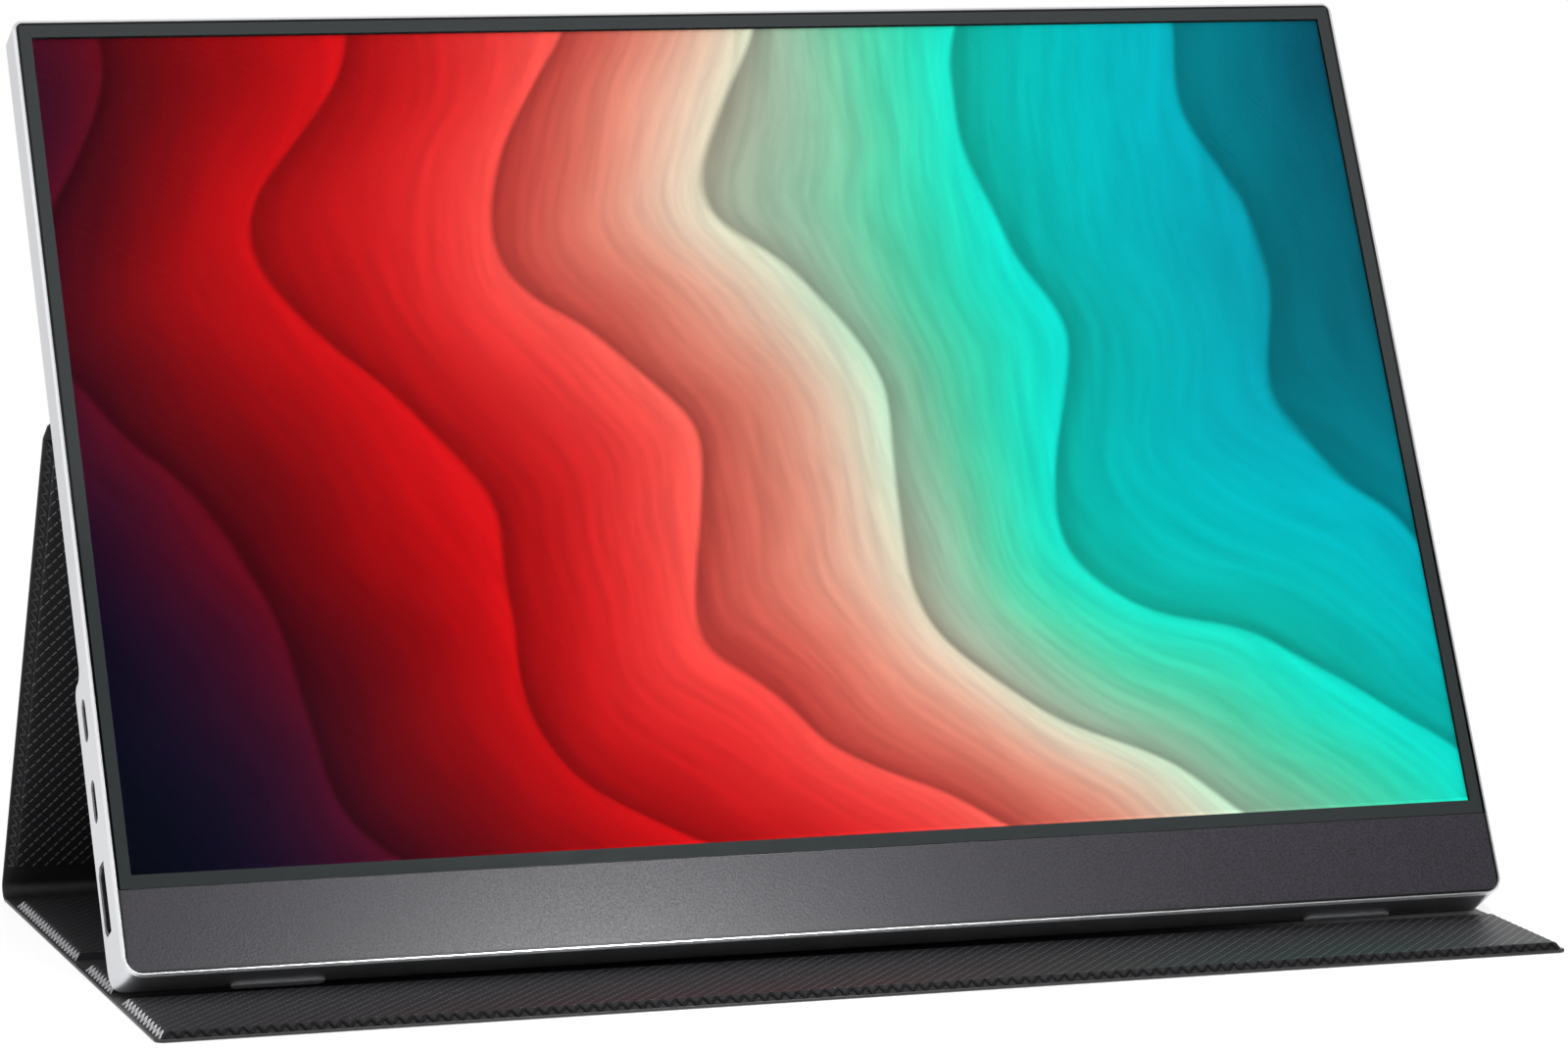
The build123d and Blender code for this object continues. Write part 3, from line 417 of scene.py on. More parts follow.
def satin_metal(colours):
    """Bead-blasted light metal with a very fine grain."""
    made = Finish("satin_metal")
    place = made.place()
    blast = made.noise(place, 5200.0, 2.0, 0.6)
    cloud = made.noise(place, 28.0, 3.0)
    base = made.tones(cloud, colours.housing, 0.975, 1.02)
    speckle = made.grey(made.span(blast, 0.32, 0.68, 0.96, 1.03))
    return made.done(
        made.mix(1.0, base, speckle, "MULTIPLY"), made.vary(blast, 0.3, 0.4),
        blast, 0.006, Metallic=0.93,
    )


def corners(node):
    return [v.co for v in NODES[node].data.vertices]


def lean_of(node):
    """A leaning plate's directions up itself and out of its front, from its corners."""
    points = np.array(corners(node))[:, 1:]
    vectors = np.linalg.eigh(np.cov((points - points.mean(0)).T))[1]
    up = Vector((0.0, *vectors[:, 1]))
    if up.z < 0 or (up.z < 0.01 and up.y < 0):
        up = -up
    return up, Vector((0.0, -up.z, up.y))


def picture_frame(made, picture):
    """Across and up the lit picture, each from 0 to 1."""
    up, _ = lean_of("display_cell")
    bottom = min(up.dot(p) for p in corners("display_cell")) + picture.bottom
    place = made.place()
    across = made.fused(made.dot(place, (1, 0, 0)), 1 / picture.width, 0.5)
    height = made.less(made.dot(place, up), bottom)
    return across, made.math("DIVIDE", height, picture.height)


def inside_share(made, across, up, *softness):
    """1 where across and up are both between 0 and 1, with soft ends."""
    shares = []
    for value, soft in zip((across, up), softness):
        rise = made.span(value, -soft, soft)
        fall = made.span(value, 1 - soft, 1 + soft, 1.0, 0.0)
        shares.append(made.times(rise, fall))
    return made.times(*shares)


def painted_gap_shade_share(made):
    """1 in a narrow line of painted shade along the outline of the glass and the chin, standing in
    for the shaded gap to the housing's rim; 0 inside it.
    """
    up, _ = lean_of("display_cell")
    points = corners("cover_glass") + corners("chin_panel")
    half = max(p.x for p in points)
    heights = [up.dot(p) for p in points]
    place = made.place()
    across = made.math("ABSOLUTE", made.dot(place, (1, 0, 0)))
    middle = (min(heights) + max(heights)) / 2
    tall = (max(heights) - min(heights)) / 2
    height = made.math("ABSOLUTE", made.less(made.dot(place, up), middle))
    at_side = made.span(across, half - RIM_LINE, half - RIM_LINE + 0.1 * MM)
    at_end = made.span(height, tall - RIM_LINE, tall - RIM_LINE + 0.1 * MM)
    return made.math("MAXIMUM", at_side, at_end)


def front_glass(colours, picture):
    """Clear over the picture and printed dark round it."""
    made = Finish("front_glass")
    across, up = picture_frame(made, picture)
    window = inside_share(made, across, up, 0.0004, 0.0006)
    print_grain = made.noise(made.place(), 3000.0)
    border = made.tones(print_grain, colours.border, 0.92, 1.08)
    made.set(
        # Painted shade of the rim gap along the glass's outline
        Base_Color=made.mix(painted_gap_shade_share(made), border, colours.painted_gap_shade),
        Roughness=made.vary(made.noise(made.place(), 160.0), 0.1, 0.14),
        IOR=1.33,
        Alpha=made.span(window, 0.0, 1.0, 1.0, 0.045),
    )
    made.material.surface_render_method = "BLENDED"
    return made.material


def picture_glow(picture):
    """Layered silky folds of colour, from navy through red and coral to teal."""
    made = Finish("liquid_crystal_cell")
    across, up = picture_frame(made, picture)
    wide = made.times(across, picture.width / picture.height)
    point = made.node("CombineXYZ", wide, up, 0.0).outputs[0]
    c, s = cos(picture.turn), sin(picture.turn)
    along = made.dot(point, (c, s, 0))
    over = made.dot(point, (-s, c, 0))
    drift = made.noise(made.stretch(point, (1.0, 1.6, 1.0), -picture.turn), 1.15, 2.0, 0.45)
    slow = made.times(along, 1.3)
    quick = made.fused(along, 2.1, 1.2)
    swing = made.math("SINE", made.fused(over, 4.4, slow))
    ripple = made.math("SINE", made.fused(over, 9.7, quick))
    flow = made.fused(swing, 0.085, along)
    flow = made.fused(ripple, 0.03, flow)
    flow = made.fused(drift, 0.34, flow)
    flow = made.fused(flow, 0.52, -0.12)
    base = made.ramp(flow, [(spot, srgb(*levels)) for spot, *levels in SILK], "B_SPLINE")
    waver = made.times(ripple, 0.11)
    folds = made.math("FRACT", made.fused(flow, 7.3, waver))
    lit = made.ramp(folds, [(spot, (level,) * 3) for spot, level in SILK_SHADING])
    sheet = made.node("CombineXYZ", flow, over, 0.0).outputs[0]
    drawn_out = made.stretch(sheet, (46.0, 2.2, 1.0))
    streak = made.grey(made.span(made.noise(drawn_out, 3.0, 4.0, 0.6), 0.25, 0.75, 0.86, 1.12))
    colour = made.mix(1.0, base, lit, "MULTIPLY")
    colour = made.mix(1.0, colour, streak, "MULTIPLY")
    inside = inside_share(made, across, up, 0.0002, 0.0003)
    made.set(
        Base_Color=(0.0, 0.0, 0.0),
        Roughness=0.4,
        Emission_Color=made.mix(inside, (0.0, 0.0, 0.0), colour),
        Emission_Strength=picture.brightness,
        Specular_IOR_Level=0.0,
    )
    return made.material


def chin_plastic(colours):
    """Dark plastic with a fine spark-eroded grain."""
    made = Finish("chin_plastic")
    place = made.place()
    grain = made.noise(place, 2500.0, 2.0, 0.6)
    pits = made.cells(place, 1900.0)
    height = made.fused(pits, 0.5, made.times(grain, 0.6))
    face = made.tones(made.span(grain, 0.35, 0.65), colours.chin, 0.5, 1.55)
    return made.done(
        # Painted shade of the rim gap along the chin's outline
        made.mix(painted_gap_shade_share(made), face, colours.painted_gap_shade), made.span(grain, 0.35, 0.65, 0.38, 0.3),
        height, 0.025, IOR=1.4,
    )


def socket_finish(node, colours, half_tongue):
    """Plated steel, with a dark tongue along the socket's middle and plated contacts on it."""
    made = Finish(node + "_finish")
    up, out = lean_of("display_cell")
    low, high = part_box(node)
    middle = out.dot((low + high) / 2)
    place = made.place()
    off = made.math("ABSOLUTE", made.less(made.dot(place, out), middle))
    tongue = made.span(off, half_tongue, half_tongue + 0.05 * MM, 1.0, 0.0)
    stripe = made.wave(made.dot(place, up), 0.5 * MM)
    front = made.span(made.dot(place, (1, 0, 0)), low.x + 3.5 * MM, low.x + 3.6 * MM, 1.0, 0.0)
    contact = made.times(made.span(stripe, 0.1, 0.4), front)
    bare = made.times(tongue, made.less(1.0, contact))
    resin = made.mix(contact, colours.resin, colours.copper)
    grain = made.noise(place, 2400.0)
    steel = made.tones(grain, colours.socket, 0.86, 1.06)
    return made.done(
        made.mix(tongue, steel, resin), made.vary(grain, 0.24, 0.36),
        grain, 0.004, Metallic=made.less(1.0, bare),
    )


def rubber(colours):
    made = Finish("foot_rubber")
    place = made.place()
    dots = made.cells(place, 1400.0)
    dust = made.noise(place, 700.0, 4.0)
    return made.done(
        made.tones(dust, colours.rubber, 0.8, 1.25), made.vary(dust, 0.55, 0.72),
        dots, 0.04,
    )


def circuit_board(colours):
    """Lacquer over copper tracks that run square to each other."""
    made = Finish("circuit_board")
    place = made.place()
    tracks = made.cells(made.stretch(place, (1.0, 1.0, 0.35)), 420.0)
    ways = made.part(made.dot(place, (1, 0, 0)), 1 / 620.0)
    track = made.times(made.span(tracks, 0.35, 0.42), made.span(ways, 0.5, 0.56))
    copper = made.mix(track, colours.board, shade(colours.board, 1.9))
    gloss = made.vary(made.noise(place, 900.0), 0.3, 0.42)
    return made.done(copper, gloss, track, 0.03, IOR=1.5)


def ribbon_film(colours):
    """Amber film with parallel conductors along the ribbon."""
    made = Finish("ribbon_film")
    place = made.place()
    across = made.span(made.wave(made.dot(place, (1, 0, 0)), 0.8 * MM), -0.2, 0.2)
    dust = made.noise(place, 500.0)
    share = made.times(across, made.span(dust, 0.2, 0.8, 0.7, 1.0))
    return made.done(
        made.mix(share, colours.ribbon, shade(colours.ribbon, 0.55)), made.vary(dust, 0.28, 0.38),
        across, 0.02,
    )


def brushed_steel(colours):
    """Steel sheet brushed across the part."""
    made = Finish("plain_steel")
    hair = made.noise(made.stretch(made.place(), (60.0, 2600.0, 2600.0)), 1.0, 3.0)
    return made.done(
        made.tones(hair, colours.steel, 0.82, 1.08), made.vary(hair, 0.26, 0.4),
        hair, 0.006, Metallic=1.0,
    )


def diode_strip(colours):
    """A row of lit-yellow diodes between white resin."""
    made = Finish("led_strip")
    place = made.place()
    row = made.part(made.dot(place, (1, 0, 0)), 6.5 * MM)
    lamp = made.times(made.span(row, 0.2, 0.24), made.span(row, 0.62, 0.66, 1.0, 0.0))
    dust = made.noise(place, 1200.0)
    return made.done(
        made.mix(lamp, shade(colours.film, 0.85), colours.diode), made.vary(dust, 0.3, 0.45),
        lamp, 0.1,
    )


def outer_leather(colours):
    """Grained leather-like skin."""
    made = Finish("outer_leather")
    place = made.flat_place()
    grain = made.cells(place, 780.0, "SMOOTH_F1")
    fine = made.noise(place, 2600.0, 3.0)
    height = made.fused(grain, 0.8, made.times(fine, 0.2))
    tone = made.span(height, 0.15, 0.7)
    return made.done(
        made.tones(tone, colours.outside, 1.15, 0.72), made.vary(fine, 0.42, 0.54),
        made.less(1.0, height), 0.07, IOR=1.48,
    )


def lining(name, colours, sizes, raised):
    """Leather-like lining embossed with slanting rows of small tiles, with a painted highlight
    along each row's edge and painted shade in its grooves.
    """
    made = Finish(name)
    place = made.flat_place()
    c, s = cos(ROW_TURN), sin(ROW_TURN)
    waver = made.less(made.noise(place, 110.0, 2.0), 0.5)
    over = made.fused(waver, 0.5 * MM, made.dot(place, (-s, c, 0)))
    row = made.part(over, sizes.row_pitch)
    tile = made.part(made.dot(place, (c, s, 0)), sizes.tile_pitch)
    unbroken = made.less(1.0, made.line(tile, 0.5, 0.14))
    # Painted highlight along each row's raised edge, which also sets its bump and gloss
    edge = made.times(made.line(row, 0.5, 0.075), unbroken)
    # Grooves along the rows and across them between the tiles: they set the relief and carry
    # painted shade in the colour
    cross = made.times(made.line(tile, 0.5, 0.09), 0.7)
    groove_and_shade = made.math("MAXIMUM", made.line(row, 0.33, 0.08), cross)
    fine = made.noise(place, 2300.0, 3.0, 0.6)
    tone = made.tones(fine, colours.inside, 0.75, 1.25)
    # Painted shade in the grooves
    tone = made.mix(groove_and_shade, tone, shade(colours.inside, 0.2))
    relief = made.less(edge, groove_and_shade)
    height = made.fused(relief, 0.4, made.fused(fine, 0.15, 0.45))
    matt = made.fused(fine, 0.5, made.times(edge, -0.4))
    return made.done(
        # The row edges take the painted highlight colour
        made.mix(edge, tone, raised), made.span(matt, -0.2, 0.4, 0.36, 0.5),
        height, 0.06, IOR=1.45,
    )


def cord_finish(name, colour, gloss):
    """Twisted thread."""
    made = Finish(name)
    place = made.place()
    twist = made.noise(made.stretch(place, (2600.0, 900.0, 2600.0), 0.6), 1.0, 3.0)
    return made.done(
        made.tones(twist, colour, 0.55, 1.3), made.vary(twist, 0.42, 0.6),
        twist, 0.06, Sheen_Weight=0.3 * gloss, Specular_IOR_Level=gloss,
    )


def dress(material, *names):
    """Puts a finish on every material slot of the named CAD nodes."""
    for name in names:
        for slot in NODES[name].material_slots:
            slot.material = material


# Meshes


class Plate:
    """A flat panel's place: its start, its directions along and through, and its size."""

    def __init__(self, name):
        self.name = name
        skin = corners(name + "_skin")
        flat = name in FLAPS
        self.along = Vector((0, 1, 0)) if flat else lean_of(name + "_lining")[0]
        self.out = Vector((0.0, -self.along.z, self.along.y))
        under = min(self.out.dot(p) for p in skin)
        reaches = [self.along.dot(p) for p in skin]
        self.thickness = max(self.out.dot(p) for p in corners(name + "_lining")) - under
        self.length = max(reaches) - min(reaches)
        self.width = max(p.x for p in skin) * 2
        self.start = self.out * under + self.along * min(reaches)
        self.end = self.start + self.along * self.length

    def ends(self, free, fold):
        """A value for the start and one for the end, which are at a free end or a fold."""
        end = FREE_END.get(self.name)
        return (free if end == "start" else fold, free if end == "end" else fold)

    def point(self, across, along, out):
        return Vector((across, 0, 0)) + self.start + self.along * along + self.out * out


def panel_loop(plate, side, low, end):
    """The panel's outline drawn in by its insets, with rounded corners, as (across, along)."""
    half, high = plate.width / 2 - side, plate.length - end
    radii = plate.ends(max(CORNER.get(plate.name, 0.0) - side, LEAST_CORNER), LEAST_CORNER)
    loop = []
    for sign, top, turn in ((1, 0, -90), (1, 1, 0), (-1, 1, 90), (-1, 0, 180)):
        radius = radii[top]
        x, y = sign * (half - radius), high - radius if top else low + radius
        for step in range(CORNER_STEPS + 1):
            angle = radians(turn + 90 * step / CORNER_STEPS)
            loop.append((x + radius * cos(angle), y + radius * sin(angle)))
    return loop


def add_object(name, data):
    made = bpy.data.objects.new(name, data)
    bpy.context.scene.collection.objects.link(made)
    return made


def add_mesh(name, shape, material, smooth_angle=35):
    """A mesh object from vertices, faces and flat places, which become a UV map in metres."""
    vertices, faces, flat_points = shape
    mesh = bpy.data.meshes.new(name)
    mesh.from_pydata([tuple(v) for v in vertices], [], faces)
    mesh.validate()
    work = bmesh.new()
    work.from_mesh(mesh)
    bmesh.ops.recalc_face_normals(work, faces=work.faces)
    layer = work.loops.layers.uv.new("flat")
    for face in work.faces:
        face.smooth = True
        for corner in face.loops:
            corner[layer].uv = flat_points[corner.vert.index]
    work.to_mesh(mesh)
    work.free()
    mesh.set_sharp_from_angle(angle=radians(smooth_angle))
    mesh.materials.append(material)
    return add_object(name, mesh)


def tube_faces(rings, count):
    """The faces of a closed tube through rings of count vertices each, with flat ends."""
    faces = []
    for level in range(rings - 1):
        first, second = level * count, (level + 1) * count
        for i in range(count):
            j = (i + 1) % count
            faces.append((first + i, first + j, second + j, second + i))
    faces.append(tuple(range(count))[::-1])
    faces.append(tuple(range((rings - 1) * count, rings * count)))
    return faces


def loft(plate, loops):
    """Vertices, faces and flat places of a closed body through loops of (points, out)."""
    vertices, flat = [], []
    for points, out in loops:
        for across, along in points:
            vertices.append(plate.point(across, along, out))
            flat.append((across, along))
    return vertices, tube_faces(len(loops), len(loops[0][0])), flat


def edge_profile(sizes):
    """The skin's rounded edge as (inset, out), from its outer face round to its inner one."""
    radius = sizes.edge_radius
    profile = []
    for out, turn in ((radius, 270), (sizes.skin - radius, 180)):
        for step in range(EDGE_STEPS + 1):
            angle = radians(turn - 90 * step / EDGE_STEPS)
            profile.append((radius + radius * cos(angle), out + radius * sin(angle)))
    return profile


def skin_mesh(plate, sizes):
    """The skin: a thin sheet with a rounded edge, and a bed for the board."""
    bed = sizes.flange + 0.3 * MM
    profile = [(inset, 0.0, out) for inset, out in edge_profile(sizes)]
    profile += [(bed, bed, sizes.skin), (bed + 0.1 * MM, bed + 0.1 * MM, sizes.board_bed)]
    loops = [
        (panel_loop(plate, inset, *plate.ends(inset, at_fold)), out)
        for inset, at_fold, out in profile
    ]
    return loft(plate, loops)


def raised_profile(sizes, plate):
    """The lining's profile as (run from its foot, out), from the board's bed to the top."""
    top, foot, wall = plate.thickness, sizes.skin, sizes.slope
    slope = ((0.12, 0.08), (0.62, 0.66), (0.80, 0.85), (1.0, 0.955))
    return [
        (wall + 0.1 * MM, top - sizes.lining),
        (0.4 * MM, foot + 0.02 * MM), (0.0, foot - 0.02 * MM),
        *((run * wall, foot + rise * (top - foot)) for run, rise in slope),
        (1.35 * wall, top - 0.02 * MM), (2.2 * wall, top),
    ]


def lining_mesh(plate, sizes):
    """The raised lining: a shallow tray over the board, with sloping sides."""
    loops = []
    for run, out in raised_profile(sizes, plate):
        free = sizes.end_flange + run * END_RUN
        ends = plate.ends(free, sizes.fold_flange + run * FOLD_RUN)
        loops.append((panel_loop(plate, sizes.flange + run, *ends), out))
    return loft(plate, loops)


def sweep_cord(points, normals, width, height, sides=8):
    """A cord of oval section along points, standing on the surface with those normals."""
    vertices = []
    for i, point in enumerate(points):
        before, after = points[max(i - 1, 0)], points[min(i + 1, len(points) - 1)]
        ahead = (after - before).normalized()
        across = ahead.cross(normals[i]).normalized()
        up = across.cross(ahead)
        for side in range(sides):
            angle = 2 * pi * side / sides
            out = up * (height / 2 * sin(angle))
            vertices.append(point + across * (width / 2 * cos(angle)) + out)
    return vertices, tube_faces(len(points), sides)


def zigzag(plate, sizes, edge, low, high, inset, pitch, run):
    """A zigzag cord on one sloping side, from low to high along it."""
    at_side = edge in ("left", "right")
    middle, reach, height = SIDE_SWING if at_side else END_SWING
    turns = max(1, round((high - low) / pitch))
    steps = turns * SWING_STEPS
    rise = plate.thickness - sizes.skin
    slope = Vector((rise, run)).normalized()
    points, normals = [], []
    for i in range(steps + 1):
        phase = 2 * pi * i * turns / steps
        swing = asin(SWING_ROUNDING * cos(phase)) / asin(SWING_ROUNDING)
        share = middle - reach * swing
        along = low + (high - low) * i / steps
        drawn_in = inset + run * share - slope.x * height * CORD_PROUD
        out = sizes.skin + rise * max(share, 0.0) + slope.y * height * CORD_PROUD
        if at_side:
            sign = -1 if edge == "left" else 1
            points.append(plate.point(sign * (plate.width / 2 - drawn_in), along, out))
            outward = Vector((sign, 0, 0))
        else:
            place = drawn_in if edge == "start" else plate.length - drawn_in
            points.append(plate.point(along, place, out))
            outward = -plate.along if edge == "start" else plate.along
        normals.append(outward * slope.x + plate.out * slope.y)
    return sweep_cord(points, normals, sizes.cord, height)


def joined(parts):
    """Several (vertices, faces) as one shape."""
    vertices, faces = [], []
    for some, some_faces in parts:
        shift = len(vertices)
        vertices.extend(some)
        faces.extend(tuple(i + shift for i in face) for face in some_faces)
    return vertices, faces, [(v.x, v.y) for v in vertices]


def round_corner(first, corner, last, radius, steps):
    """Points from first round a corner to last, straight apart from one arc."""
    back, ahead = (first - corner).normalized(), (last - corner).normalized()
    half = back.angle(ahead) / 2
    reach = radius / tan(half)
    centre = corner + (back + ahead).normalized() * (radius / sin(half))
    start, end = corner + back * reach, corner + ahead * reach
    u, v = start - centre, end - centre
    turn = u.angle(v)
    arc = []
    for i in range(steps + 1):
        share = i / steps
        spoke = u * sin((1 - share) * turn) + v * sin(share * turn)
        arc.append(centre + spoke / sin(turn))
    shares = [i / STRAIGHT_STEPS for i in range(STRAIGHT_STEPS + 1)]
    before = [first.lerp(start, share) for share in shares[:-1]]
    return before + arc + [end.lerp(last, share) for share in shares[1:]]


def strip_mesh(path, widths, sizes):
    """A fold: a sheet along a path of its outer face, as thick as the skin, with rounded sides."""
    profile = edge_profile(sizes)
    vertices, flat = [], []
    length = 0.0
    for i, point in enumerate(path):
        before, after = path[max(i - 1, 0)], path[min(i + 1, len(path) - 1)]
        ahead = (after - before).normalized()
        out = Vector((0.0, -ahead.z, ahead.y))
        if i:
            length += (point - path[i - 1]).length
        share = i / (len(path) - 1)
        half = (widths[0] + (widths[1] - widths[0]) * share) / 2
        fade = min(1.0, share * 6, (1 - share) * 6)
        creases = CREASE_DEPTH * sin(length / CREASE_RUN) * fade
        ring = [(-half + a, b) for a, b in profile] + [(half - a, b) for a, b in profile[::-1]]
        for across, through in ring:
            lift = creases if through > sizes.skin / 2 else 0.0
            vertices.append(point + Vector((across, 0, 0)) + out * (through + lift))
            flat.append((across, length))
    return vertices, tube_faces(len(path), len(profile) * 2), flat


def meeting(first, second):
    """Where the outer faces of two plates meet, seen from the side."""
    reach = second.out.dot(second.start - first.start) / second.out.dot(first.along)
    return first.start + first.along * reach


# Operators


class MonitorOperator:
    bl_options = {"REGISTER", "UNDO"}

    def execute(self, context):
        self.build(context.scene)
        return {"FINISHED"}


class MONITOR_OT_housing(MonitorOperator, bpy.types.Operator):
    """Gives the housing and the side keys their satin metal"""

    bl_idname = "monitor.housing"
    bl_label = "Housing and keys"

    def build(self, scene):
        metal = satin_metal(scene.monitor_colours)
        dress(metal, "rear_housing", "power_button", "plus_button", "minus_button")


class MONITOR_OT_front(MonitorOperator, bpy.types.Operator):
    """Finishes the glass with its printed border and the textured chin"""

    bl_idname = "monitor.front"
    bl_label = "Glass and chin"

    def build(self, scene):
        dress(front_glass(scene.monitor_colours, scene.monitor_picture), "cover_glass")
        dress(chin_plastic(scene.monitor_colours), "chin_panel")


class MONITOR_OT_picture(MonitorOperator, bpy.types.Operator):
    """Lights the display with an abstract picture of layered colour"""

    bl_idname = "monitor.picture"
    bl_label = "Picture"

    def build(self, scene):
        dress(picture_glow(scene.monitor_picture), "display_cell")


class MONITOR_OT_sockets(MonitorOperator, bpy.types.Operator):
    """Finishes the sockets in both sides"""

    bl_idname = "monitor.sockets"
    bl_label = "Sockets"

    def build(self, scene):
        colours = scene.monitor_colours
        for node in ("usb_c_port_upper", "usb_c_port_lower"):
            dress(socket_finish(node, colours, 0.5 * MM), node)
        dress(socket_finish("video_port", colours, 0.8 * MM), "video_port")
        dress(grained("black_resin", colours.resin, 0.42, 0.3, 0.01), "headphone_jack")


class MONITOR_OT_underside(MonitorOperator, bpy.types.Operator):
    """Finishes the feet and the speakers"""

    bl_idname = "monitor.underside"
    bl_label = "Feet and speakers"

    def build(self, scene):
        colours = scene.monitor_colours
        dress(rubber(colours), "foot_left", "foot_right")
        speaker = grained("speaker_resin", colours.resin, 0.5, 0.35, 0.02)
        dress(speaker, "speaker_left", "speaker_right")


class MONITOR_OT_inside(MonitorOperator, bpy.types.Operator):
    """Finishes the parts inside the housing and the cover"""

    bl_idname = "monitor.inside"
    bl_label = "Inner parts"

    def build(self, scene):
        colours = scene.monitor_colours
        cover = scene.monitor_cover_colours
        dress(circuit_board(colours), "main_board", "side_board", "timing_board")
        dress(ribbon_film(colours), "display_flex", "side_ribbon")
        dress(brushed_steel(colours), "display_tray", "magnet_keepers", "board_screws")
        dress(diode_strip(colours), "led_bar")
        resin = grained("chip_resin", colours.resin, 0.45, 0.12, 0.01)
        dress(resin, "board_chips", "key_switches")
        film = grained("optical_film", colours.film, 0.3, 0.2, 0.004, variation=0.03)
        dress(film, "optical_sheets")
        guide = grained(
            "acrylic", colours.film, 0.12, 0.5, 0.002, variation=0.02,
            Transmission_Weight=0.7, IOR=1.49,
        )
        dress(guide, "light_guide")
        magnet = grained("magnet_plating", colours.magnet, 0.3, 0.4, 0.004, metallic=1.0)
        dress(magnet, "flap_magnets", "back_magnets")
        board = grained("cover_board", cover.board, 0.85, 0.25, 0.03, variation=0.2)
        dress(board, *(name + "_board" for name in PANELS))


class MONITOR_OT_cover_panels(MonitorOperator, bpy.types.Operator):
    """Models the skin and the raised lining of every cover panel"""

    bl_idname = "monitor.cover_panels"
    bl_label = "Cover panels"

    def build(self, scene):
        sizes = scene.monitor_cover_sizes
        colours = scene.monitor_cover_colours
        leather = outer_leather(colours)
        # Each lining gets its own painted highlight colour for the row edges
        inside = lining("embossed_lining", colours, sizes, colours.raised)
        ripple = lining("flap_lining", colours, sizes, colours.ripple)
        band = grained("edge_band", shade(colours.outside, 1.7), 0.6, 0.3, 0.02, IOR=1.2)
        for name in PANELS:
            plate = Plate(name)
            skin = add_mesh(name + "_outer", skin_mesh(plate, sizes), leather)
            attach(skin, name)
            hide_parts(name + "_skin")
            finish = ripple if name in FLAPS else inside
            raised = add_mesh(name + "_inner", lining_mesh(plate, sizes), finish, 50)
            raised.data.materials.append(band)
            for face in raised.data.polygons:
                if face.normal.dot(plate.out) < FLAT_LIMIT:
                    face.material_index = 1
            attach(raised, name)
            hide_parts(name + "_lining")


class MONITOR_OT_cover_trims(MonitorOperator, bpy.types.Operator):
    """Lays a zigzag cord along the sloping edges of every cover panel"""

    bl_idname = "monitor.cover_trims"
    bl_label = "Zigzag cords"

    def build(self, scene):
        sizes = scene.monitor_cover_sizes
        colours = scene.monitor_cover_colours
        # Lit and shaded copies of one thread: painted light on the flaps' sides, painted shade on
        # the leg, the back and the free ends
        side_cord = cord_finish("side_cord", colours.side_cord, 0.5)
        dark_cord = cord_finish("dark_cord", colours.dark_cord, 0.25)
        end_cord = cord_finish("end_cord", colours.end_cord, 0.1)
        for name in PANELS:
            plate = Plate(name)
            corner = CORNER.get(name, 0.0)
            free = max(corner - sizes.flange, sizes.end_flange)
            start, end = plate.ends(free, sizes.fold_flange)
            row = (start, plate.length - end, sizes.flange, sizes.pitch, sizes.slope)
            sides = [zigzag(plate, sizes, edge, *row) for edge in ("left", "right")]
            # The flaps get the lit copy of the cord, the leg and the back the shaded one
            self.add("side_cord", name, sides, side_cord if name in FLAPS else dark_cord)
            if name in FREE_END:
                half = plate.width / 2 - corner
                row = (-half, half, sizes.end_flange, sizes.end_pitch, sizes.slope * END_RUN)
                self.add("end_cord", name, [zigzag(plate, sizes, FREE_END[name], *row)], end_cord)

    def add(self, kind, name, strips, finish):
        cord = add_mesh(f"{name}_{kind}", joined(strips), finish, 80)
        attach(cord, name)


class MONITOR_OT_cover_folds(MonitorOperator, bpy.types.Operator):
    """Models the folds between the panels"""

    bl_idname = "monitor.cover_folds"
    bl_label = "Cover folds"

    def build(self, scene):
        sizes = scene.monitor_cover_sizes
        leather = outer_leather(scene.monitor_cover_colours)
        plates = {name: Plate(name) for name in PANELS}
        for name, first, second, bend in FLAT_FOLDS:
            near, far = plates[first], plates[second]
            steps = [i / FLAT_FOLD_STEPS for i in range(FLAT_FOLD_STEPS + 1)]
            path = [near.end + (far.start - near.end) * step for step in steps]
            self.add(name, path, (near.width, far.width), sizes, leather, second, first, bend)
        for name, first, second, radius, steps in ROUND_FOLDS:
            near, far = plates[first], plates[second]
            path = round_corner(near.end, meeting(near, far), far.start, radius, steps)
            self.add(name, path, (near.width, far.width), sizes, leather, second, first)

    def add(self, name, path, widths, sizes, leather, far_body, near_body, bend=(0, -1)):
        fold = add_mesh(name + "_leather", strip_mesh(path, widths, sizes), leather)
        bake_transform(fold)
        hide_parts(name)


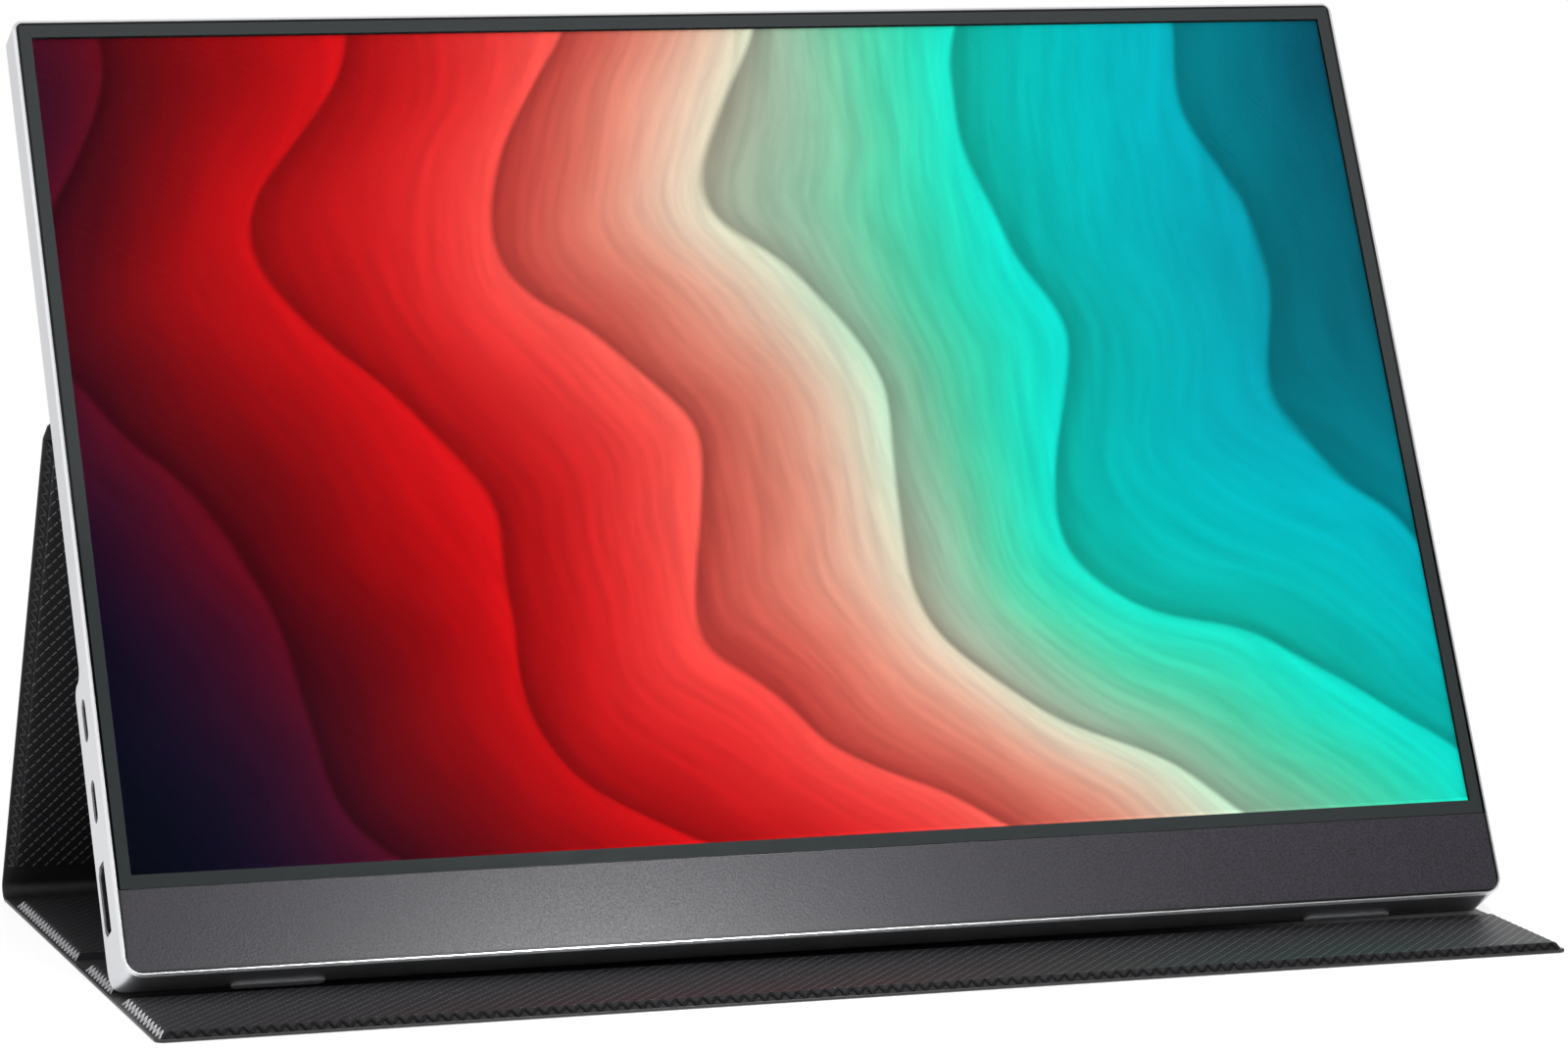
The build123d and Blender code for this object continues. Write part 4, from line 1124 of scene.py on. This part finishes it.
class MONITOR_OT_stage(MonitorOperator, bpy.types.Operator):
    """Adds the plain floor, the softboxes, the white surroundings and the camera"""

    bl_idname = "monitor.stage"
    bl_label = "Studio"

    def build(self, scene):
        studio = scene.monitor_studio
        self.add_floor(studio)
        self.add_world(scene, studio)
        for name, place, target, size in SOFTBOXES:
            self.add_light(name, place, target, size, getattr(studio, name))
        self.add_card()
        self.add_camera(scene, studio)

    def add_card(self):
        """A black card in front of the chin, which only reflections show."""
        up, out = lean_of("display_cell")
        foot = CHIN_FOOT + out * CARD_REACH
        outline = [
            tuple(foot + Vector((across, 0, 0)) + up * height) for across, height in CARD_OUTLINE
        ]
        mesh = bpy.data.meshes.new("black_card")
        mesh.from_pydata(outline, [], [range(len(outline))])
        card = add_object("black_card", mesh)
        made = Finish("black_card")
        made.set(Base_Color=(0.01, 0.01, 0.01), Roughness=1.0, Specular_IOR_Level=0.0)
        mesh.materials.append(made.material)
        for rays in ("camera", "diffuse", "transmission", "shadow"):
            setattr(card, "visible_" + rays, False)

    def add_floor(self, studio):
        work = bmesh.new()
        bmesh.ops.create_circle(work, cap_ends=True, segments=96, radius=4.0)
        mesh = bpy.data.meshes.new("studio_floor")
        work.to_mesh(mesh)
        work.free()
        floor = add_object("studio_floor", mesh)
        floor.location.z = -0.2 * MM
        made = Finish("studio_floor")
        seen = made.seen()
        away = made.node("VectorMath", made.place(), operation="LENGTH").outputs["Value"]
        far = made.span(away, 0.3, 1.1)
        made.set(Base_Color=studio.floor, Roughness=0.9, Specular_IOR_Level=0.0)
        glow = made.node("Emission", (1.0, 1.0, 1.0), made.times(seen, studio.floor_glow))
        near = made.node("AddShader", made.surface.outputs[0], glow.outputs[0])
        level = made.fused(seen, 1 - studio.ambient, studio.ambient)
        white = made.node("Emission", (1.0, 1.0, 1.0), level)
        both = made.node("MixShader", far, near.outputs[0], white.outputs[0])
        made.join(both.outputs[0], made.output.inputs["Surface"])
        mesh.materials.append(made.material)

    def add_world(self, scene, studio):
        world = bpy.data.worlds.new("studio_world")
        world.use_nodes = True
        made = Nodes(world.node_tree)
        background = made.tree.nodes["Background"].inputs
        level = made.fused(made.seen(), 1 - studio.ambient, studio.ambient)
        made.join((1.0, 1.0, 1.0), background["Color"])
        made.join(level, background["Strength"])
        scene.world = world

    def add_light(self, name, place, target, size, power):
        light = bpy.data.lights.new(name + "_softbox", "AREA")
        light.shape = "RECTANGLE"
        light.size, light.size_y = size
        light.energy = power
        made = add_object(name + "_softbox", light)
        made.location = place
        made.rotation_euler = (Vector(target) - Vector(place)).to_track_quat("-Z", "Y").to_euler()
        made.visible_camera = name != "strip"

    def add_camera(self, scene, studio):
        turn, tilt, roll = (radians(angle) for angle in CAMERA_ANGLES)
        level = Vector((sin(turn), cos(turn), 0.0))
        ahead = level * cos(tilt) - Vector((0.0, 0.0, sin(tilt)))
        right = Vector((cos(turn), -sin(turn), 0.0))
        up = right.cross(ahead)
        across = right * cos(roll) + up * sin(roll)
        turned = Matrix((across, across.cross(ahead), -ahead)).transposed()
        camera = add_object("camera", bpy.data.cameras.new("camera"))
        place = CAMERA_TARGET - ahead * CAMERA_DISTANCE
        camera.matrix_world = Matrix.Translation(place) @ turned.to_4x4()
        camera.data.lens = studio.focal_length
        camera.data.sensor_width = 36.0
        scene.camera = camera
        scene.view_settings.view_transform = "Standard"


BUILDERS = (
    MONITOR_OT_stage, MONITOR_OT_housing, MONITOR_OT_front, MONITOR_OT_picture, MONITOR_OT_sockets,
    MONITOR_OT_underside, MONITOR_OT_inside, MONITOR_OT_cover_panels, MONITOR_OT_cover_trims,
    MONITOR_OT_cover_folds,
)
SETTINGS = {
    "monitor_colours": MonitorColours,
    "monitor_cover_colours": CoverColours,
    "monitor_cover_sizes": CoverSizes,
    "monitor_picture": PictureSettings,
    "monitor_studio": StudioSettings,
}


class MONITOR_PT_sidebar(bpy.types.Panel):
    """Settings and builders of the portable monitor"""

    bl_idname = "MONITOR_PT_sidebar"
    bl_label = "Portable monitor"
    bl_space_type = "VIEW_3D"
    bl_region_type = "UI"
    bl_category = "Monitor"

    def draw(self, context):
        for name in SETTINGS:
            settings = getattr(context.scene, name)
            box = self.layout.box()
            for key in settings.bl_rna.properties.keys():
                if key not in ("rna_type", "name"):
                    box.prop(settings, key)
        for builder in BUILDERS:
            self.layout.operator(builder.bl_idname)


def register():
    for cls in (*SETTINGS.values(), *BUILDERS, MONITOR_PT_sidebar):
        bpy.utils.register_class(cls)
    for name, group in SETTINGS.items():
        setattr(bpy.types.Scene, name, bpy.props.PointerProperty(type=group))


def unregister():
    for name in SETTINGS:
        delattr(bpy.types.Scene, name)
    for cls in (MONITOR_PT_sidebar, *BUILDERS[::-1], *SETTINGS.values()):
        bpy.utils.unregister_class(cls)


def main():
    """Registers the add-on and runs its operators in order."""
    register()
    for builder in BUILDERS:
        getattr(bpy.ops.monitor, builder.bl_idname.split(".")[1])()


if __name__ == "__main__":
    main()
